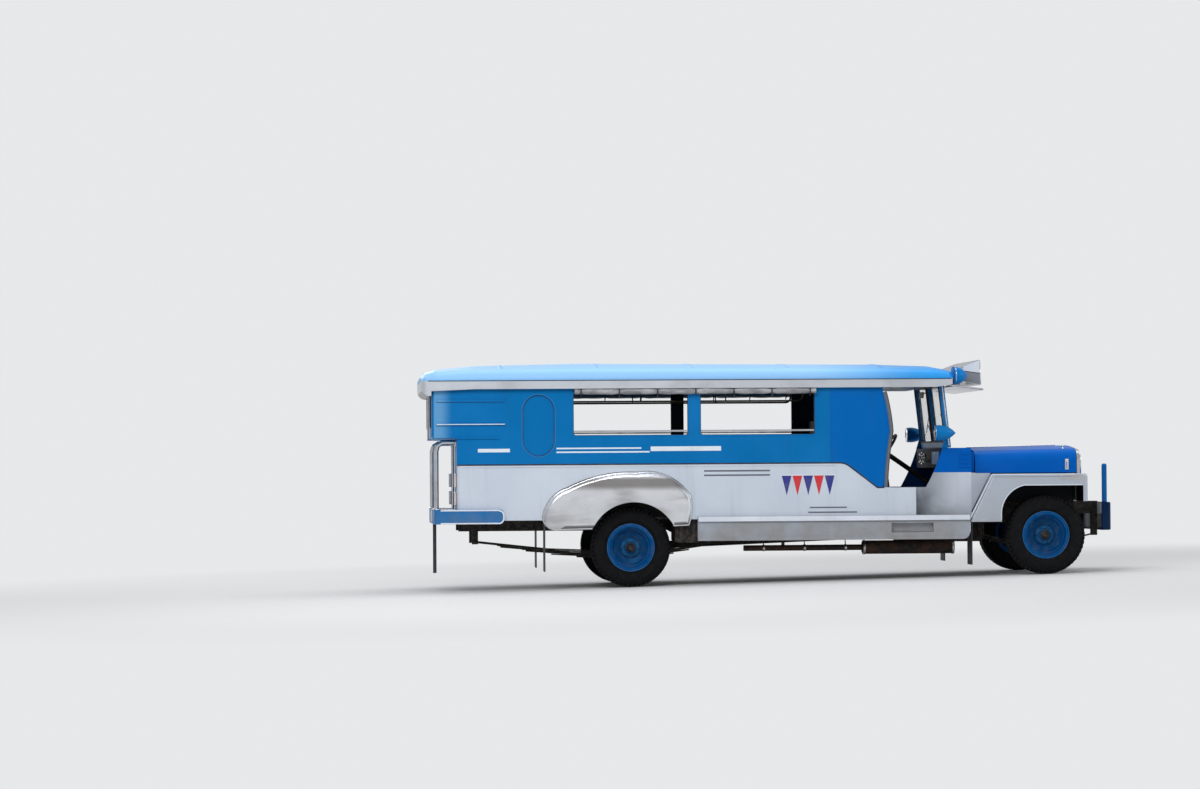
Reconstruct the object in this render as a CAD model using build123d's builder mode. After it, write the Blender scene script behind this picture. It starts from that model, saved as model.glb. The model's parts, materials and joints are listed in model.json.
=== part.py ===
from build123d import *
import math
import os

os.makedirs("parts", exist_ok=True)

# A long-bodied jeepney: an open-sided passenger body with a rear entrance,
# a short bonnet between flat-top front fenders, and bulging rear fenders.
# Millimetres. +X is forward, +Y is the left side, +Z is up.
# Every piece is drawn with the body level, x = 0 at the rear axle. As it is
# written it is leaned nose-down by the rake, so that all tyres touch Z = 0.

# Clearances: in a bearing, where a piece rests on its seat, and beside a moving piece
running_gap = 0.3
seat_gap = 0.3
moving_gap = 6

# Stance
wheelbase = 4032
rake = 1.3

# Wheels and tyres
track = 1480
tyre_radius = 380
tyre_width = 190
tread_width = 132
bead_radius = 205
bead_width = 128
rim_flange_radius = 228
flange_thick = 11
rim_thick = 9
dish_depth = 42
dish_radius = 172
hub_radius = 58
hub_length = 50
drum_radius = 162
drum_thick = 12
drum_depth = 50
stub_radius = 30
stub_short = 10

# Frame and running gear
rail_y = 370
rail_width = 60
rail_skin = 8
rail_rear = -1640
rail_low_rear = 540
rail_low_mid = 450
rail_low_front = 671
rail_top_mid = 560
rail_top_front = 793
axle_tube_radius = 52
banjo_radius = 145
pinion_nose = 150
kingpin_y = 590
kingpin_radius = 18
beam_width = 64
beam_depth = 70
beam_drop = 45
spring_width = 58
leaf_thick = 12
spring_seat = 60
tie_rod_radius = 13
tie_rod_eye = 22
tie_rod_pin = 9
steering_arm = 140
shaft_radius = 36
gearbox_rear = 2680

# Body widths, half of the whole
side_half = 905
wall = 40
cowl_half = 800
cowl_skin = 22
gutter_out = 45
fender_out = 25
rear_fender_bulge = 63

# Body heights with the body level
rocker_bottom = 440
side_bottom = 648
floor_top = 668
floor_thick = 24
doorsill = 940
belt = 1180
overhang_bottom = 1430
sill = 1455
window_top = 1897
gutter_bottom = 1905
roof_edge = 1985
roof_crown = 2168
cowl_top = 1318

# Body stations along its length
roof_rear = -2003
fascia_low = 1843
fascia_round = 80
upper_rear = -1908
corner_round = 36
lower_rear = -1668
window_start = -552
window_length = 1106
window_pillar = 117
recess_x = -884
recess_width = 312
recess_height = 594
recess_depth = 18
recess_z = 1554

# Cab, measured back from the cowl's front
cowl_to_axle = 722
cowl_depth = 557
door_foot_back = 444
pillar_back = 280
door_edge_back = 850
slant_foot_back = 931
slant_top_back = 1244
slant_round = 160
roof_front_back = 184
firewall_thick = 30
partition_back = 1360

# Bonnet and front fenders
hood_nose = 345
hood_length = 1016
hood_side_bottom = 1073
hood_rear_z = 1322
hood_front_z = 1341
hood_half_rear = 720
hood_half_front = 610
hood_corner = 110
hood_crown = 30
hood_skin = 14
hood_seat = 10
hinge_drop = 34
hinge_back = 25
hinge_pin = 8
hinge_barrel = 15
hinge_y = 300
hinge_half = 40
ear_thick = 12
ear_reach = 12
ear_tall = 24
fender_nose = 394
fender_back = 534
fender_foot = 603
fender_lip_low = 795
fender_skin = 14
arch_height = 949
apron_y = 430

# Front bumper
bumper_rear_nose = 592
bumper_depth = 88
bumper_half = 640
bumper_low = 510
bumper_high = 783
bumper_skin = 12
bumper_round = 14
guard_radius = 25
guard_top = 1157
guard_round = 16

# Rear step
step_rear = -1889
step_front = -1220
step_out = 45
step_low = 616
step_high = 755
step_tread = 24

# Benches and front seat
bench_y = 560
bench_rear_gap = 60
bench_front = 1880
bench_top = 1050
bench_sheet = 18
pad_thick = 90
back_pad_thick = 50
back_pad_height = 200
back_pad_z = 1330
front_seat_back = 830
front_seat_depth = 420
front_seat_top = 980
front_seat_half = 770
front_pad_thick = 110
front_back_height = 560
partition_top = 1600
partition_thick = 20

# Steering wheel
steer_y = 380
steer_back = 670
steer_z = 1290
steer_tilt = 35
ring_radius = 200
ring_thick = 14
column_radius = 24
column_tip = 11

# Worked out from the sizes above
rake_rad = math.radians(rake)
rear_axle_z = tyre_radius
front_axle_x = wheelbase * math.cos(rake_rad)
front_axle_z = tyre_radius + wheelbase * math.sin(rake_rad)
stub_out = track / 2 - stub_short
rail_inner = rail_y - rail_width / 2
rail_outer = rail_y + rail_width / 2
floor_under = floor_top - floor_thick
side_inner = side_half - wall
gutter_half = side_half + gutter_out
fender_half = side_half + fender_out
step_half = side_half + step_out
cowl_front = front_axle_x - cowl_to_axle
cowl_rear = cowl_front - cowl_depth
door_foot = cowl_front - door_foot_back
pillar_x = cowl_front - pillar_back
door_edge = cowl_front - door_edge_back
slant_foot = cowl_front - slant_foot_back
slant_top = cowl_front - slant_top_back
partition_x = cowl_front - partition_back
firewall_x = cowl_front - firewall_thick
roof_front = cowl_front - roof_front_back
hood_front = front_axle_x + hood_nose
hood_rear = hood_front - hood_length
hinge_x = hood_rear - hinge_back
hinge_z = hood_rear_z - hinge_drop
fender_top = hood_side_bottom - hood_seat
fender_front = front_axle_x + fender_nose
bumper_rear = front_axle_x + bumper_rear_nose
bumper_front = bumper_rear + bumper_depth
guard_y = bumper_half - guard_radius
windows = (window_start, window_start + window_length + window_pillar)


def leaned(x, z):
    # A point of the level body after the rake.
    dz = z - rear_axle_z
    far = x * math.cos(rake_rad) + dz * math.sin(rake_rad)
    return far, rear_axle_z - x * math.sin(rake_rad) + dz * math.cos(rake_rad)


# The two ends after the rake give the shift that centres the whole on X = 0
nose_x = leaned(bumper_front - bumper_round, bumper_high - bumper_round)[0] + bumper_round
tail_x = leaned(roof_rear, fascia_low + fascia_round)[0]
centre_x = (nose_x + tail_x) / 2
stance = (
    Location((-centre_x, 0, rear_axle_z))
    * Location((0, 0, 0), (0, rake, 0))
    * Location((0, 0, -rear_axle_z))
)
level = stance.inverse()


def keep(builder, label):
    # Leans the finished piece with the body, names it and writes it.
    builder.part.move(stance)
    builder.part.label = label
    export_step(builder.part, f"parts/{label}.step")


def side_plane(half):
    # A plane along the right side, its own x forward and its own y up.
    return Plane.XZ.offset(half)


def section(x):
    # A plane across the vehicle at x, its own x to the left and its own y up.
    return Plane(origin=(x, 0, 0), x_dir=(0, 1, 0), z_dir=(1, 0, 0))


def slant_lines():
    # From the belt over a rounded shoulder, down the slant to the doorsill.
    lean = math.atan2(belt - doorsill, slant_foot - slant_top)
    reach = slant_round * math.tan(lean / 2)
    shoulder_end = (slant_top + reach * math.cos(lean), belt - reach * math.sin(lean))
    RadiusArc((slant_top - reach, belt), shoulder_end, slant_round)
    Line(shoulder_end, (slant_foot, doorsill))
    return slant_top - reach


def corner_lines(rear, half, radius):
    # The sliver in plan that rounds a rear right corner.
    inset = radius * (1 - math.sqrt(0.5))
    Polyline((rear, radius - half), (rear, -half), (rear + radius, -half))
    ThreePointArc((rear + radius, -half), (rear + inset, inset - half), (rear, radius - half))


# Ladder frame: two channel rails that rise over the rear axle and to the bumper
kick_low = (430, 600)
kick_top = (520, 700)
rise_low = (cowl_front - 80, cowl_front + 130)
rise_top = (cowl_front - 10, cowl_front + 210)
rail_outline = (
    (rail_rear, rail_low_rear), (kick_low[0], rail_low_rear), (kick_low[1], rail_low_mid),
    (rise_low[0], rail_low_mid), (rise_low[1], rail_low_front), (bumper_rear, rail_low_front),
    (bumper_rear, rail_top_front), (rise_top[1], rail_top_front), (rise_top[0], rail_top_mid),
    (kick_top[1], rail_top_mid), (kick_top[0], floor_under), (rail_rear, floor_under),
)
cross_width = 70
cross_height = 90
rear_cross = (rail_rear + 80, -700)
nose_cross = (fender_front + 14,)
bearer_width = 60
bearers = (900, 1500, 2100, cowl_front - 710, cowl_front - 130)
jack_x = 1300
jack_pad = (120, rail_width, 8)
with BuildPart() as chassis_frame:
    with BuildSketch(side_plane(rail_outer)):
        with BuildLine():
            Polyline(*rail_outline, close=True)
        make_face()
    extrude(amount=-rail_width)
    # Open side of the channel, towards the middle
    with BuildSketch(side_plane(rail_inner)):
        with BuildLine():
            Polyline(*rail_outline, close=True)
        make_face()
        offset(amount=-rail_skin, kind=Kind.INTERSECTION, mode=Mode.REPLACE)
    extrude(amount=rail_width - rail_skin, mode=Mode.SUBTRACT)
    mirror(about=Plane.XZ)
    for cross_x in rear_cross:
        with Locations((cross_x, 0, rail_low_rear + rail_skin + cross_height / 2)):
            Box(cross_width, 2 * (rail_outer - rail_skin), cross_height - rail_skin)
    for cross_x in nose_cross:
        with Locations((cross_x, 0, rail_low_front + rail_skin + cross_height / 2)):
            Box(cross_width, 2 * (rail_outer - rail_skin), cross_height)
    # Jack pads under the rails
    for pad_y in (-rail_y, rail_y):
        with Locations((jack_x, pad_y, rail_low_mid - jack_pad[2] / 2)):
            Box(*jack_pad)
    # Bearers on top of the rails, under the floor and out to the rockers
    for bearer_x in bearers:
        with Locations((bearer_x, 0, (rail_top_mid + floor_under) / 2)):
            Box(bearer_width, 2 * side_inner, floor_under - rail_top_mid)
keep(chassis_frame, "chassis_frame")

# Rear axle: tube, banjo housing with its pinion nose, brake backs and stubs
tube_short = 60
backing_in = 92
backing_thick = 20
banjo_deep = 30
banjo_taper = 60
banjo_cap = 45
pinion_collar = 16
with BuildPart() as rear_axle:
    with BuildSketch(side_plane(track / 2 - tube_short)):
        with Locations((0, rear_axle_z)):
            Circle(axle_tube_radius)
    extrude(amount=-(track - 2 * tube_short))
    with BuildSketch(side_plane(stub_out)):
        with Locations((0, rear_axle_z)):
            Circle(stub_radius)
    extrude(amount=-2 * stub_out)
    for backing in (-1, 1):
        with Locations((0, backing * (track / 2 - backing_in), rear_axle_z)):
            Cylinder(drum_radius, backing_thick, rotation=(90, 0, 0))
    # Banjo: a domed cover behind, the round housing, and the cone ahead to the pinion
    for rear_x, rear_radius, front_x, front_radius in (
        (-banjo_deep - banjo_taper, banjo_radius - banjo_cap, -banjo_deep, banjo_radius),
        (-banjo_deep, banjo_radius, banjo_deep, banjo_radius),
        (banjo_deep, banjo_radius, pinion_nose, shaft_radius + pinion_collar),
    ):
        for disc_x, disc_radius in ((rear_x, rear_radius), (front_x, front_radius)):
            with BuildSketch(section(disc_x)):
                with Locations((0, rear_axle_z)):
                    Circle(disc_radius)
        loft(ruled=True)
keep(rear_axle, "rear_axle")

# Front beam axle, dropped in its middle, with its kingpin eyes
eye_wall = 22
eye_reach = 68
beam_end_y = kingpin_y + eye_wall
eye_in = kingpin_y - eye_reach
with BuildPart() as front_axle:
    with BuildSketch(section(front_axle_x - beam_width / 2)):
        with BuildLine():
            top = front_axle_z + beam_depth / 2
            low = front_axle_z - beam_depth / 2
            Polyline(
                (-beam_end_y, low), (-eye_in, low), (-rail_outer, low - beam_drop), (rail_outer, low - beam_drop),
                (eye_in, low), (beam_end_y, low), (beam_end_y, top), (eye_in, top), (rail_outer, top - beam_drop),
                (-rail_outer, top - beam_drop), (-eye_in, top), (-beam_end_y, top),
                close=True,
            )
        make_face()
    extrude(amount=beam_width)
    with BuildSketch(Plane.XY.offset(low)):
        with Locations((front_axle_x, kingpin_y), (front_axle_x, -kingpin_y)):
            Circle(kingpin_radius + running_gap)
    extrude(amount=beam_depth, mode=Mode.SUBTRACT)
keep(front_axle, "front_axle")


# Leaf springs. The outline of one leaf: flat on its seat, bowed up to both ends
def leaf_outline(axle_x, low, behind, ahead, rise):
    under = [
        (axle_x - behind, low + rise), (axle_x - behind / 2, low + rise / 4), (axle_x - spring_seat, low),
        (axle_x + spring_seat, low), (axle_x + ahead / 2, low + rise / 4), (axle_x + ahead, low + rise),
    ]
    over = [(x, z + leaf_thick) for x, z in reversed(under)]
    return under + over


# Columns: node, axle x, top of the pack, reach behind, reach ahead, rise, leaves,
# frame height over the rear eye, frame height over the front eye
rear_leaf_count = 5
front_leaf_count = 4
spring_rows = (
    (
        "rear_springs", 0, rear_axle_z - axle_tube_radius, 1480, 900, 110, rear_leaf_count,
        rail_low_rear, rail_low_mid,
    ),
    (
        "front_springs", front_axle_x, front_axle_z - beam_depth / 2 - beam_drop, 560, 560, 90, front_leaf_count,
        rail_low_front, rail_low_front,
    ),
)
shackle_width = 50
shackle_long = 60
for label, pack_x, pack_top, behind, ahead, rise, leaves, frame_rear, frame_front in spring_rows:
    with BuildPart() as springs:
        for index in range(leaves):
            share = 1 - index / (leaves + 1)
            leaf_low = pack_top - (index + 1) * leaf_thick
            with BuildSketch(side_plane(rail_y + spring_width / 2)):
                with BuildLine():
                    Polyline(
                        *leaf_outline(pack_x, leaf_low, behind * share, ahead * share, rise * share * share),
                        close=True,
                    )
                make_face()
            extrude(amount=-spring_width)
        # Shackles up to the frame
        eye_low = pack_top - 2 * leaf_thick + rise
        for eye_x, frame_z in ((pack_x - behind, frame_rear), (pack_x + ahead, frame_front)):
            with Locations((eye_x, -rail_y, (eye_low + frame_z) / 2)):
                Box(shackle_long, shackle_width, frame_z - eye_low)
        mirror(about=Plane.XZ)
    keep(springs, label)

# Steering knuckle: a fork over the end of the beam, its kingpin, its stub axle
# and its arm back to the tie rod
ear_height = 30
ear_top = front_axle_z + beam_depth / 2 + moving_gap + ear_height
ear_low = front_axle_z - beam_depth / 2 - moving_gap - ear_height
fork_width = 52
fork_post = 36
fork_reach = 80
fork_in = 30
arm_width = 40
fork_out = kingpin_y + fork_reach
tie_rod_x = front_axle_x - steering_arm
tie_rod_low = ear_low + ear_height + moving_gap
tie_rod_height = 28
with BuildPart() as knuckle_right:
    for ear_base in (ear_top - ear_height, ear_low):
        with Locations((front_axle_x, -(kingpin_y - fork_in + fork_out) / 2, ear_base + ear_height / 2)):
            Box(fork_width, fork_reach + fork_in, ear_height)
    with Locations((front_axle_x, -(fork_out - fork_post / 2), front_axle_z)):
        Box(fork_width, fork_post, ear_top - ear_low)
    with BuildSketch(Plane.XY.offset(ear_low)):
        with Locations((front_axle_x, -kingpin_y)):
            Circle(kingpin_radius)
    extrude(amount=ear_top - ear_low)
    with BuildSketch(side_plane(stub_out)):
        with Locations((front_axle_x, front_axle_z)):
            Circle(stub_radius)
    extrude(amount=-(stub_out - fork_out + fork_post / 2))
    with BuildSketch(Plane.XY.offset(ear_low)):
        with Locations((front_axle_x - steering_arm / 2, -kingpin_y)):
            Rectangle(steering_arm, arm_width)
        with Locations((tie_rod_x, -kingpin_y)):
            Circle(tie_rod_eye)
    extrude(amount=ear_height)
    with BuildSketch(Plane.XY.offset(ear_low + ear_height)):
        with Locations((tie_rod_x, -kingpin_y)):
            Circle(tie_rod_pin)
    extrude(amount=tie_rod_height + 2 * moving_gap)
keep(knuckle_right, "knuckle_right")

with BuildPart() as knuckle_left:
    # The right knuckle, drawn level again and mirrored
    mirror(knuckle_right.part.moved(level), about=Plane.XZ)
keep(knuckle_left, "knuckle_left")

# Tie rod behind the beam, an eye over each steering arm's pin
with BuildPart() as tie_rod:
    with BuildSketch(Plane.XY.offset(tie_rod_low)):
        with Locations((tie_rod_x, -kingpin_y), (tie_rod_x, kingpin_y)):
            Circle(tie_rod_eye)
    extrude(amount=tie_rod_height)
    rod_z = tie_rod_low + tie_rod_height / 2
    with BuildSketch(Plane.XZ.offset(kingpin_y)):
        with Locations((tie_rod_x, rod_z)):
            Circle(tie_rod_radius)
    extrude(amount=-2 * kingpin_y)
    with BuildSketch(Plane.XY.offset(tie_rod_low)):
        with Locations((tie_rod_x, -kingpin_y), (tie_rod_x, kingpin_y)):
            Circle(tie_rod_pin + running_gap)
    extrude(amount=tie_rod_height, mode=Mode.SUBTRACT)
keep(tie_rod, "tie_rod")

# Wheels and tyres. Columns: name, x, axle height, side (-1 is the right)
wheel_stations = (
    ("front_right", front_axle_x, front_axle_z, -1),
    ("front_left", front_axle_x, front_axle_z, 1),
    ("rear_right", 0, rear_axle_z, -1),
    ("rear_left", 0, rear_axle_z, 1),
)
shoulder_drop = 18
belly_low = 276
belly_high = 322
dish_floor = -8
dish_step = 12
dish_bend = 60
dish_curl = 20
disc_thick = 14
hub_taper = 22
hub_shoulder = 16
for name, wheel_x, wheel_z, side in wheel_stations:
    # Across the wheel: own x points outward, own y up from the axis
    plane = Plane(origin=(wheel_x, side * track / 2, wheel_z), x_dir=(0, side, 0), z_dir=(side, 0, 0))
    spin = Axis((wheel_x, 0, wheel_z), (0, 1, 0))
    shoulder = (tread_width + tyre_width) / 4
    with BuildPart() as tyre:
        with BuildSketch(plane):
            with BuildLine():
                bead = bead_width / 2
                tread = tread_width / 2
                belly = tyre_width / 2
                flank_top = tyre_radius - shoulder_drop
                foot = rim_flange_radius + seat_gap
                flank = (
                    (bead, bead_radius), (bead, foot), (belly, belly_low), (belly, belly_high), (shoulder, flank_top),
                )
                other = [(-out, high) for out, high in reversed(flank)]
                Polyline(*flank, (tread, tyre_radius), (-tread, tyre_radius), *other, close=True)
            make_face()
        revolve(axis=spin)
    keep(tyre, f"tyre_{name}")

    with BuildPart() as wheel:
        # Rim and its flanges
        with BuildSketch(plane):
            with BuildLine():
                edge = bead + flange_thick
                Polyline(
                    (-edge, bead_radius - rim_thick), (edge, bead_radius - rim_thick), (edge, rim_flange_radius),
                    (bead, rim_flange_radius), (bead, bead_radius), (-bead, bead_radius),
                    (-bead, rim_flange_radius), (-edge, rim_flange_radius),
                    close=True,
                )
            make_face()
        revolve(axis=spin)
        # Dished disc with the hub, and the brake drum behind it
        with BuildSketch(plane):
            with BuildLine():
                rim_inner = bead_radius - rim_thick
                face = dish_floor + dish_depth
                drum_inner = drum_radius - drum_thick
                web = dish_floor - disc_thick
                bore = stub_radius + running_gap
                Polyline(
                    (0, 0), (hub_length, 0), (hub_length, hub_radius - hub_taper),
                    (hub_length - hub_shoulder, hub_radius - hub_shoulder / 2), (dish_floor, hub_radius),
                    (dish_floor, dish_radius - dish_bend), (dish_floor + dish_step, dish_radius - dish_curl),
                    (face, dish_radius), (face, rim_inner), (face - disc_thick, rim_inner),
                    (face - disc_thick, dish_radius + rim_thick), (dish_floor, drum_radius),
                    (dish_floor - drum_depth, drum_radius), (dish_floor - drum_depth, drum_inner),
                    (web, drum_inner), (web, bore), (0, bore),
                    close=True,
                )
            make_face()
        revolve(axis=spin)
    keep(wheel, f"wheel_{name}")

# Propeller shaft from the gearbox to the rear axle's nose, a joint at each end
joint_radius = shaft_radius + 14
gearbox_drop = 80
shaft_end_long = 60
gearbox_z = rail_top_mid - gearbox_drop
shaft_tilt = (gearbox_z - rear_axle_z) / (gearbox_rear - pinion_nose)
shaft_gap = joint_radius * shaft_tilt + seat_gap
shaft_start = (gearbox_rear - shaft_gap, 0, gearbox_z)
shaft_end = (pinion_nose + shaft_gap, 0, rear_axle_z)
shaft_dir = (shaft_end[0] - shaft_start[0], 0, shaft_end[2] - shaft_start[2])
shaft_long = math.dist(shaft_start, shaft_end)
with BuildPart() as prop_shaft:
    for disc_start, disc_long, disc_radius in (
        (0, shaft_long, shaft_radius), (0, shaft_end_long, joint_radius),
        (shaft_long - shaft_end_long, shaft_end_long, joint_radius),
    ):
        with BuildSketch(Plane(origin=shaft_start, z_dir=shaft_dir).offset(disc_start)):
            Circle(disc_radius)
        extrude(amount=disc_long)
keep(prop_shaft, "prop_shaft")

# Engine, bell housing and gearbox as one plain block, on mounts out to the rails
engine_length = 740
engine_width = 440
engine_low = 580
engine_high = 1120
engine_x = front_axle_x - 130
bell = (200, 320, 260)
bell_z = 620
gearbox_size = (220, 160)
mount_size = (90, 60)
mount_z = rail_low_front + 39
with BuildPart() as engine_block:
    with Locations((engine_x, 0, (engine_low + engine_high) / 2)):
        Box(engine_length, engine_width, engine_high - engine_low)
    bell_front = engine_x - engine_length / 2
    with Locations((bell_front - bell[0] / 2, 0, bell_z)):
        Box(*bell)
    with Locations(((gearbox_rear + bell_front) / 2, 0, gearbox_z)):
        Box(bell_front - gearbox_rear, *gearbox_size)
    for mount_side in (-1, 1):
        with Locations((engine_x, mount_side * (engine_width / 2 + rail_inner) / 2, mount_z)):
            Box(mount_size[0], rail_inner - engine_width / 2, mount_size[1])
keep(engine_block, "engine_block")

# Radiator core standing on the rails behind the grille
radiator_top = 1250
radiator_thick = 50
radiator_back = 70
radiator_round = 40
with BuildPart() as radiator:
    with Locations((hood_front - radiator_back, 0, (rail_top_front + radiator_top) / 2)):
        Box(radiator_thick, 2 * rail_outer, radiator_top - rail_top_front)
    fillet(radiator.edges().filter_by(Axis.X).group_by(Axis.Z)[-1], radius=radiator_round)
keep(radiator, "radiator")

# Exhaust: silencer and pipe under the right rocker, hung from the bearers
pipe_y = -560
pipe_z = 360
silencer_radius = 66
pipe_radius = 28
silencer_front = cowl_front - 140
silencer_long = 900
pipe_rear = 1116
with BuildPart() as exhaust:
    with BuildSketch(Plane(origin=(silencer_front, pipe_y, pipe_z), z_dir=(-1, 0, 0))):
        Circle(silencer_radius)
    extrude(amount=silencer_long)
    fillet(exhaust.edges().filter_by(GeomType.CIRCLE), radius=24)
    with BuildSketch(Plane(origin=(silencer_front - silencer_long + 30, pipe_y, pipe_z), z_dir=(-1, 0, 0))):
        Circle(pipe_radius)
    extrude(amount=silencer_front - silencer_long + 30 - pipe_rear)
    for hanger_x, hanger_low in ((bearers[3], pipe_z + silencer_radius - 8), (bearers[1], pipe_z + pipe_radius - 8)):
        with Locations((hanger_x, pipe_y, (hanger_low + rail_top_mid) / 2)):
            Box(30, 20, rail_top_mid - hanger_low)
keep(exhaust, "exhaust")

# Fuel tank ahead of the right rear wheel
tank_low = 424
tank_length = 240
tank_width = 430
tank_x = 545
with BuildPart() as fuel_tank:
    with Locations((tank_x, -(rail_outer + 20 + tank_width / 2), (tank_low + floor_under) / 2)):
        Box(tank_length, tank_width, floor_under - tank_low)
    fillet(fuel_tank.edges().filter_by(Axis.Y).group_by(Axis.Z)[0], radius=30)
keep(fuel_tank, "fuel_tank")

# Floor with its wheel wells
well_half = 470
well_in = 20
with BuildPart() as floor:
    with BuildSketch(Plane.XY.offset(floor_under)):
        with BuildLine():
            narrow = cowl_half - cowl_skin
            Polyline(
                (lower_rear, -side_inner), (cowl_rear, -side_inner), (cowl_rear, -narrow), (firewall_x, -narrow),
                (firewall_x, narrow), (cowl_rear, narrow), (cowl_rear, side_inner), (lower_rear, side_inner),
                close=True,
            )
        make_face()
        for well_side in (-1, 1):
            with Locations((0, well_side * (bench_y + side_inner + well_in) / 2)):
                Rectangle(2 * well_half, side_inner - bench_y + well_in, mode=Mode.SUBTRACT)
    extrude(amount=floor_thick)
keep(floor, "floor")

# Lower side of the body, silver: wheel opening, belt, slanting front end
wheel_cut_x = 20
wheel_cut_radius = 440
belt_bead = 6
belt_bead_height = 16
belt_bead_in = 40
with BuildPart() as lower_side_right:
    with BuildSketch(side_plane(side_half)):
        with BuildLine():
            shoulder_start = slant_lines()
            Polyline(
                (slant_foot, doorsill), (cowl_rear, doorsill), (cowl_rear, side_bottom), (lower_rear, side_bottom),
                (lower_rear, belt), (shoulder_start, belt),
            )
        make_face()
        with Locations((wheel_cut_x, rear_axle_z)):
            Circle(wheel_cut_radius, mode=Mode.SUBTRACT)
    extrude(amount=-wall)
    with BuildSketch(Plane.XY.offset(side_bottom)):
        with BuildLine():
            corner_lines(lower_rear, side_half, corner_round)
        make_face()
    extrude(amount=belt - side_bottom, mode=Mode.SUBTRACT)
    # Raised bead under the belt
    with BuildSketch(side_plane(side_half)):
        with Locations(((lower_rear + shoulder_start) / 2, belt - belt_bead_height)):
            SlotOverall(shoulder_start - lower_rear - 2 * belt_bead_in, belt_bead_height)
    extrude(amount=belt_bead)
    # Plate that closes the step in to the narrower cowl
    with BuildSketch(section(cowl_rear)):
        with BuildLine():
            plate_in = cowl_half - cowl_skin
            Polyline(
                (-side_inner, floor_top), (-plate_in, floor_top), (-plate_in, doorsill), (-side_inner, doorsill),
                close=True,
            )
        make_face()
    extrude(amount=-cowl_skin)
keep(lower_side_right, "lower_side_right")

with BuildPart() as lower_side_left:
    mirror(lower_side_right.part.moved(level), about=Plane.XZ)
keep(lower_side_left, "lower_side_left")

# Upper side of the body, blue: two windows, blind recess, pressed beads on the
# rear quarter, and the wavy edge of the front doorway
window_corner = 24
quarter_corner = 60
quarter_bead = 10
quarter_bead_heights = (1570, 1795)
quarter_bead_front = -1160
quarter_bead_in = 44
quarter_bead_width = 22
lap_front = -1255
lap_width = 16
door_foot_flat = 66
door_crest_out = 42
door_crest_z = overhang_bottom + 50
door_head_back = 20
door_head_z = window_top - 37
with BuildPart() as upper_side_right:
    with BuildSketch(side_plane(side_half)):
        with BuildLine():
            # The doorway's edge: narrow foot, crest beside the seat, drawn back under the roof
            foot = (slant_foot + door_foot_flat, doorsill)
            crest = (door_edge + door_crest_out, door_crest_z)
            head = (door_edge - door_head_back, door_head_z)
            slant_lines()
            Line((slant_foot, doorsill), foot)
            ThreePointArc(foot, (door_edge, belt), crest)
            ThreePointArc(crest, (door_edge + door_head_back, (door_crest_z + door_head_z) / 2), head)
            Polyline(
                head, (door_edge - door_head_back, roof_edge), (upper_rear, roof_edge),
                (upper_rear, overhang_bottom + quarter_corner),
            )
            RadiusArc(
                (upper_rear, overhang_bottom + quarter_corner), (upper_rear + quarter_corner, overhang_bottom),
                -quarter_corner,
            )
            Polyline((upper_rear + quarter_corner, overhang_bottom), (lower_rear, overhang_bottom), (lower_rear, belt))
            Line((lower_rear, belt), (shoulder_start, belt))
        make_face()
        for window_x in windows:
            with Locations((window_x + window_length / 2, (sill + window_top) / 2)):
                RectangleRounded(window_length, window_top - sill, window_corner, mode=Mode.SUBTRACT)
    extrude(amount=-wall)
    with BuildSketch(Plane.XY.offset(overhang_bottom)):
        with BuildLine():
            corner_lines(upper_rear, side_half, corner_round)
        make_face()
    extrude(amount=roof_edge - overhang_bottom, mode=Mode.SUBTRACT)
    # Tall blind recess behind the windows
    with BuildSketch(side_plane(side_half)):
        with Locations((recess_x, recess_z)):
            SlotOverall(recess_height, recess_width, rotation=90)
    extrude(amount=-recess_depth, mode=Mode.SUBTRACT)
    # Pressed beads and the lap edge of the rear quarter
    with BuildSketch(side_plane(side_half)):
        for bead_z in quarter_bead_heights:
            with Locations(((upper_rear + quarter_bead_front) / 2, bead_z)):
                SlotOverall(quarter_bead_front - upper_rear - 2 * quarter_bead_in, quarter_bead_width)
        with Locations(((lower_rear + lap_front) / 2, overhang_bottom + lap_width / 2)):
            SlotOverall(lap_front - lower_rear, lap_width)
    extrude(amount=quarter_bead)
keep(upper_side_right, "upper_side_right")

with BuildPart() as upper_side_left:
    mirror(upper_side_right.part.moved(level), about=Plane.XZ)
keep(upper_side_left, "upper_side_left")

# Rear wall: corner panels beside the open rear entrance, stepped out above
entrance_half = 340
rear_sheet = 30
rear_window = (300, 330)
rear_window_round = 40
shelf_thick = 24
with BuildPart() as rear_wall:
    panel_y = -(entrance_half + side_inner) / 2
    panel_width = side_inner - entrance_half
    with Locations((lower_rear + rear_sheet / 2, panel_y, (floor_top + overhang_bottom) / 2)):
        Box(rear_sheet, panel_width, overhang_bottom - floor_top)
    shelf_length = lower_rear - upper_rear + rear_sheet
    with Locations((upper_rear + shelf_length / 2, panel_y, overhang_bottom + shelf_thick / 2)):
        Box(shelf_length, panel_width, shelf_thick)
    with BuildSketch(section(upper_rear)):
        with Locations((panel_y, (overhang_bottom + roof_edge) / 2)):
            Rectangle(panel_width, roof_edge - overhang_bottom)
            RectangleRounded(*rear_window, rear_window_round, mode=Mode.SUBTRACT)
    extrude(amount=rear_sheet)
    mirror(about=Plane.XZ)
keep(rear_wall, "rear_wall")

# Roof shell. Columns: station x, crown, shoulder height, edge half-width
roof_stations = (
    (roof_rear, 2030, 2016, gutter_half - 60),
    (roof_rear + 36, 2076, 2052, gutter_half - 16),
    (roof_rear + 130, 2112, 2078, gutter_half),
    (-1500, 2148, 2098, gutter_half),
    (-500, roof_crown, 2108, gutter_half),
    (door_edge - 10, 2146, 2094, gutter_half),
    (roof_front - 176, 2128, 2082, gutter_half),
    (roof_front - 41, 2102, 2062, gutter_half - 10),
    (roof_front, 2056, 2038, gutter_half - 40),
)
roof_skin = 26
shoulder_in = 120
arc_swell = 0.2071
bow_depth = 34
bow_width = 40
bow_pitch = 620


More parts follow.
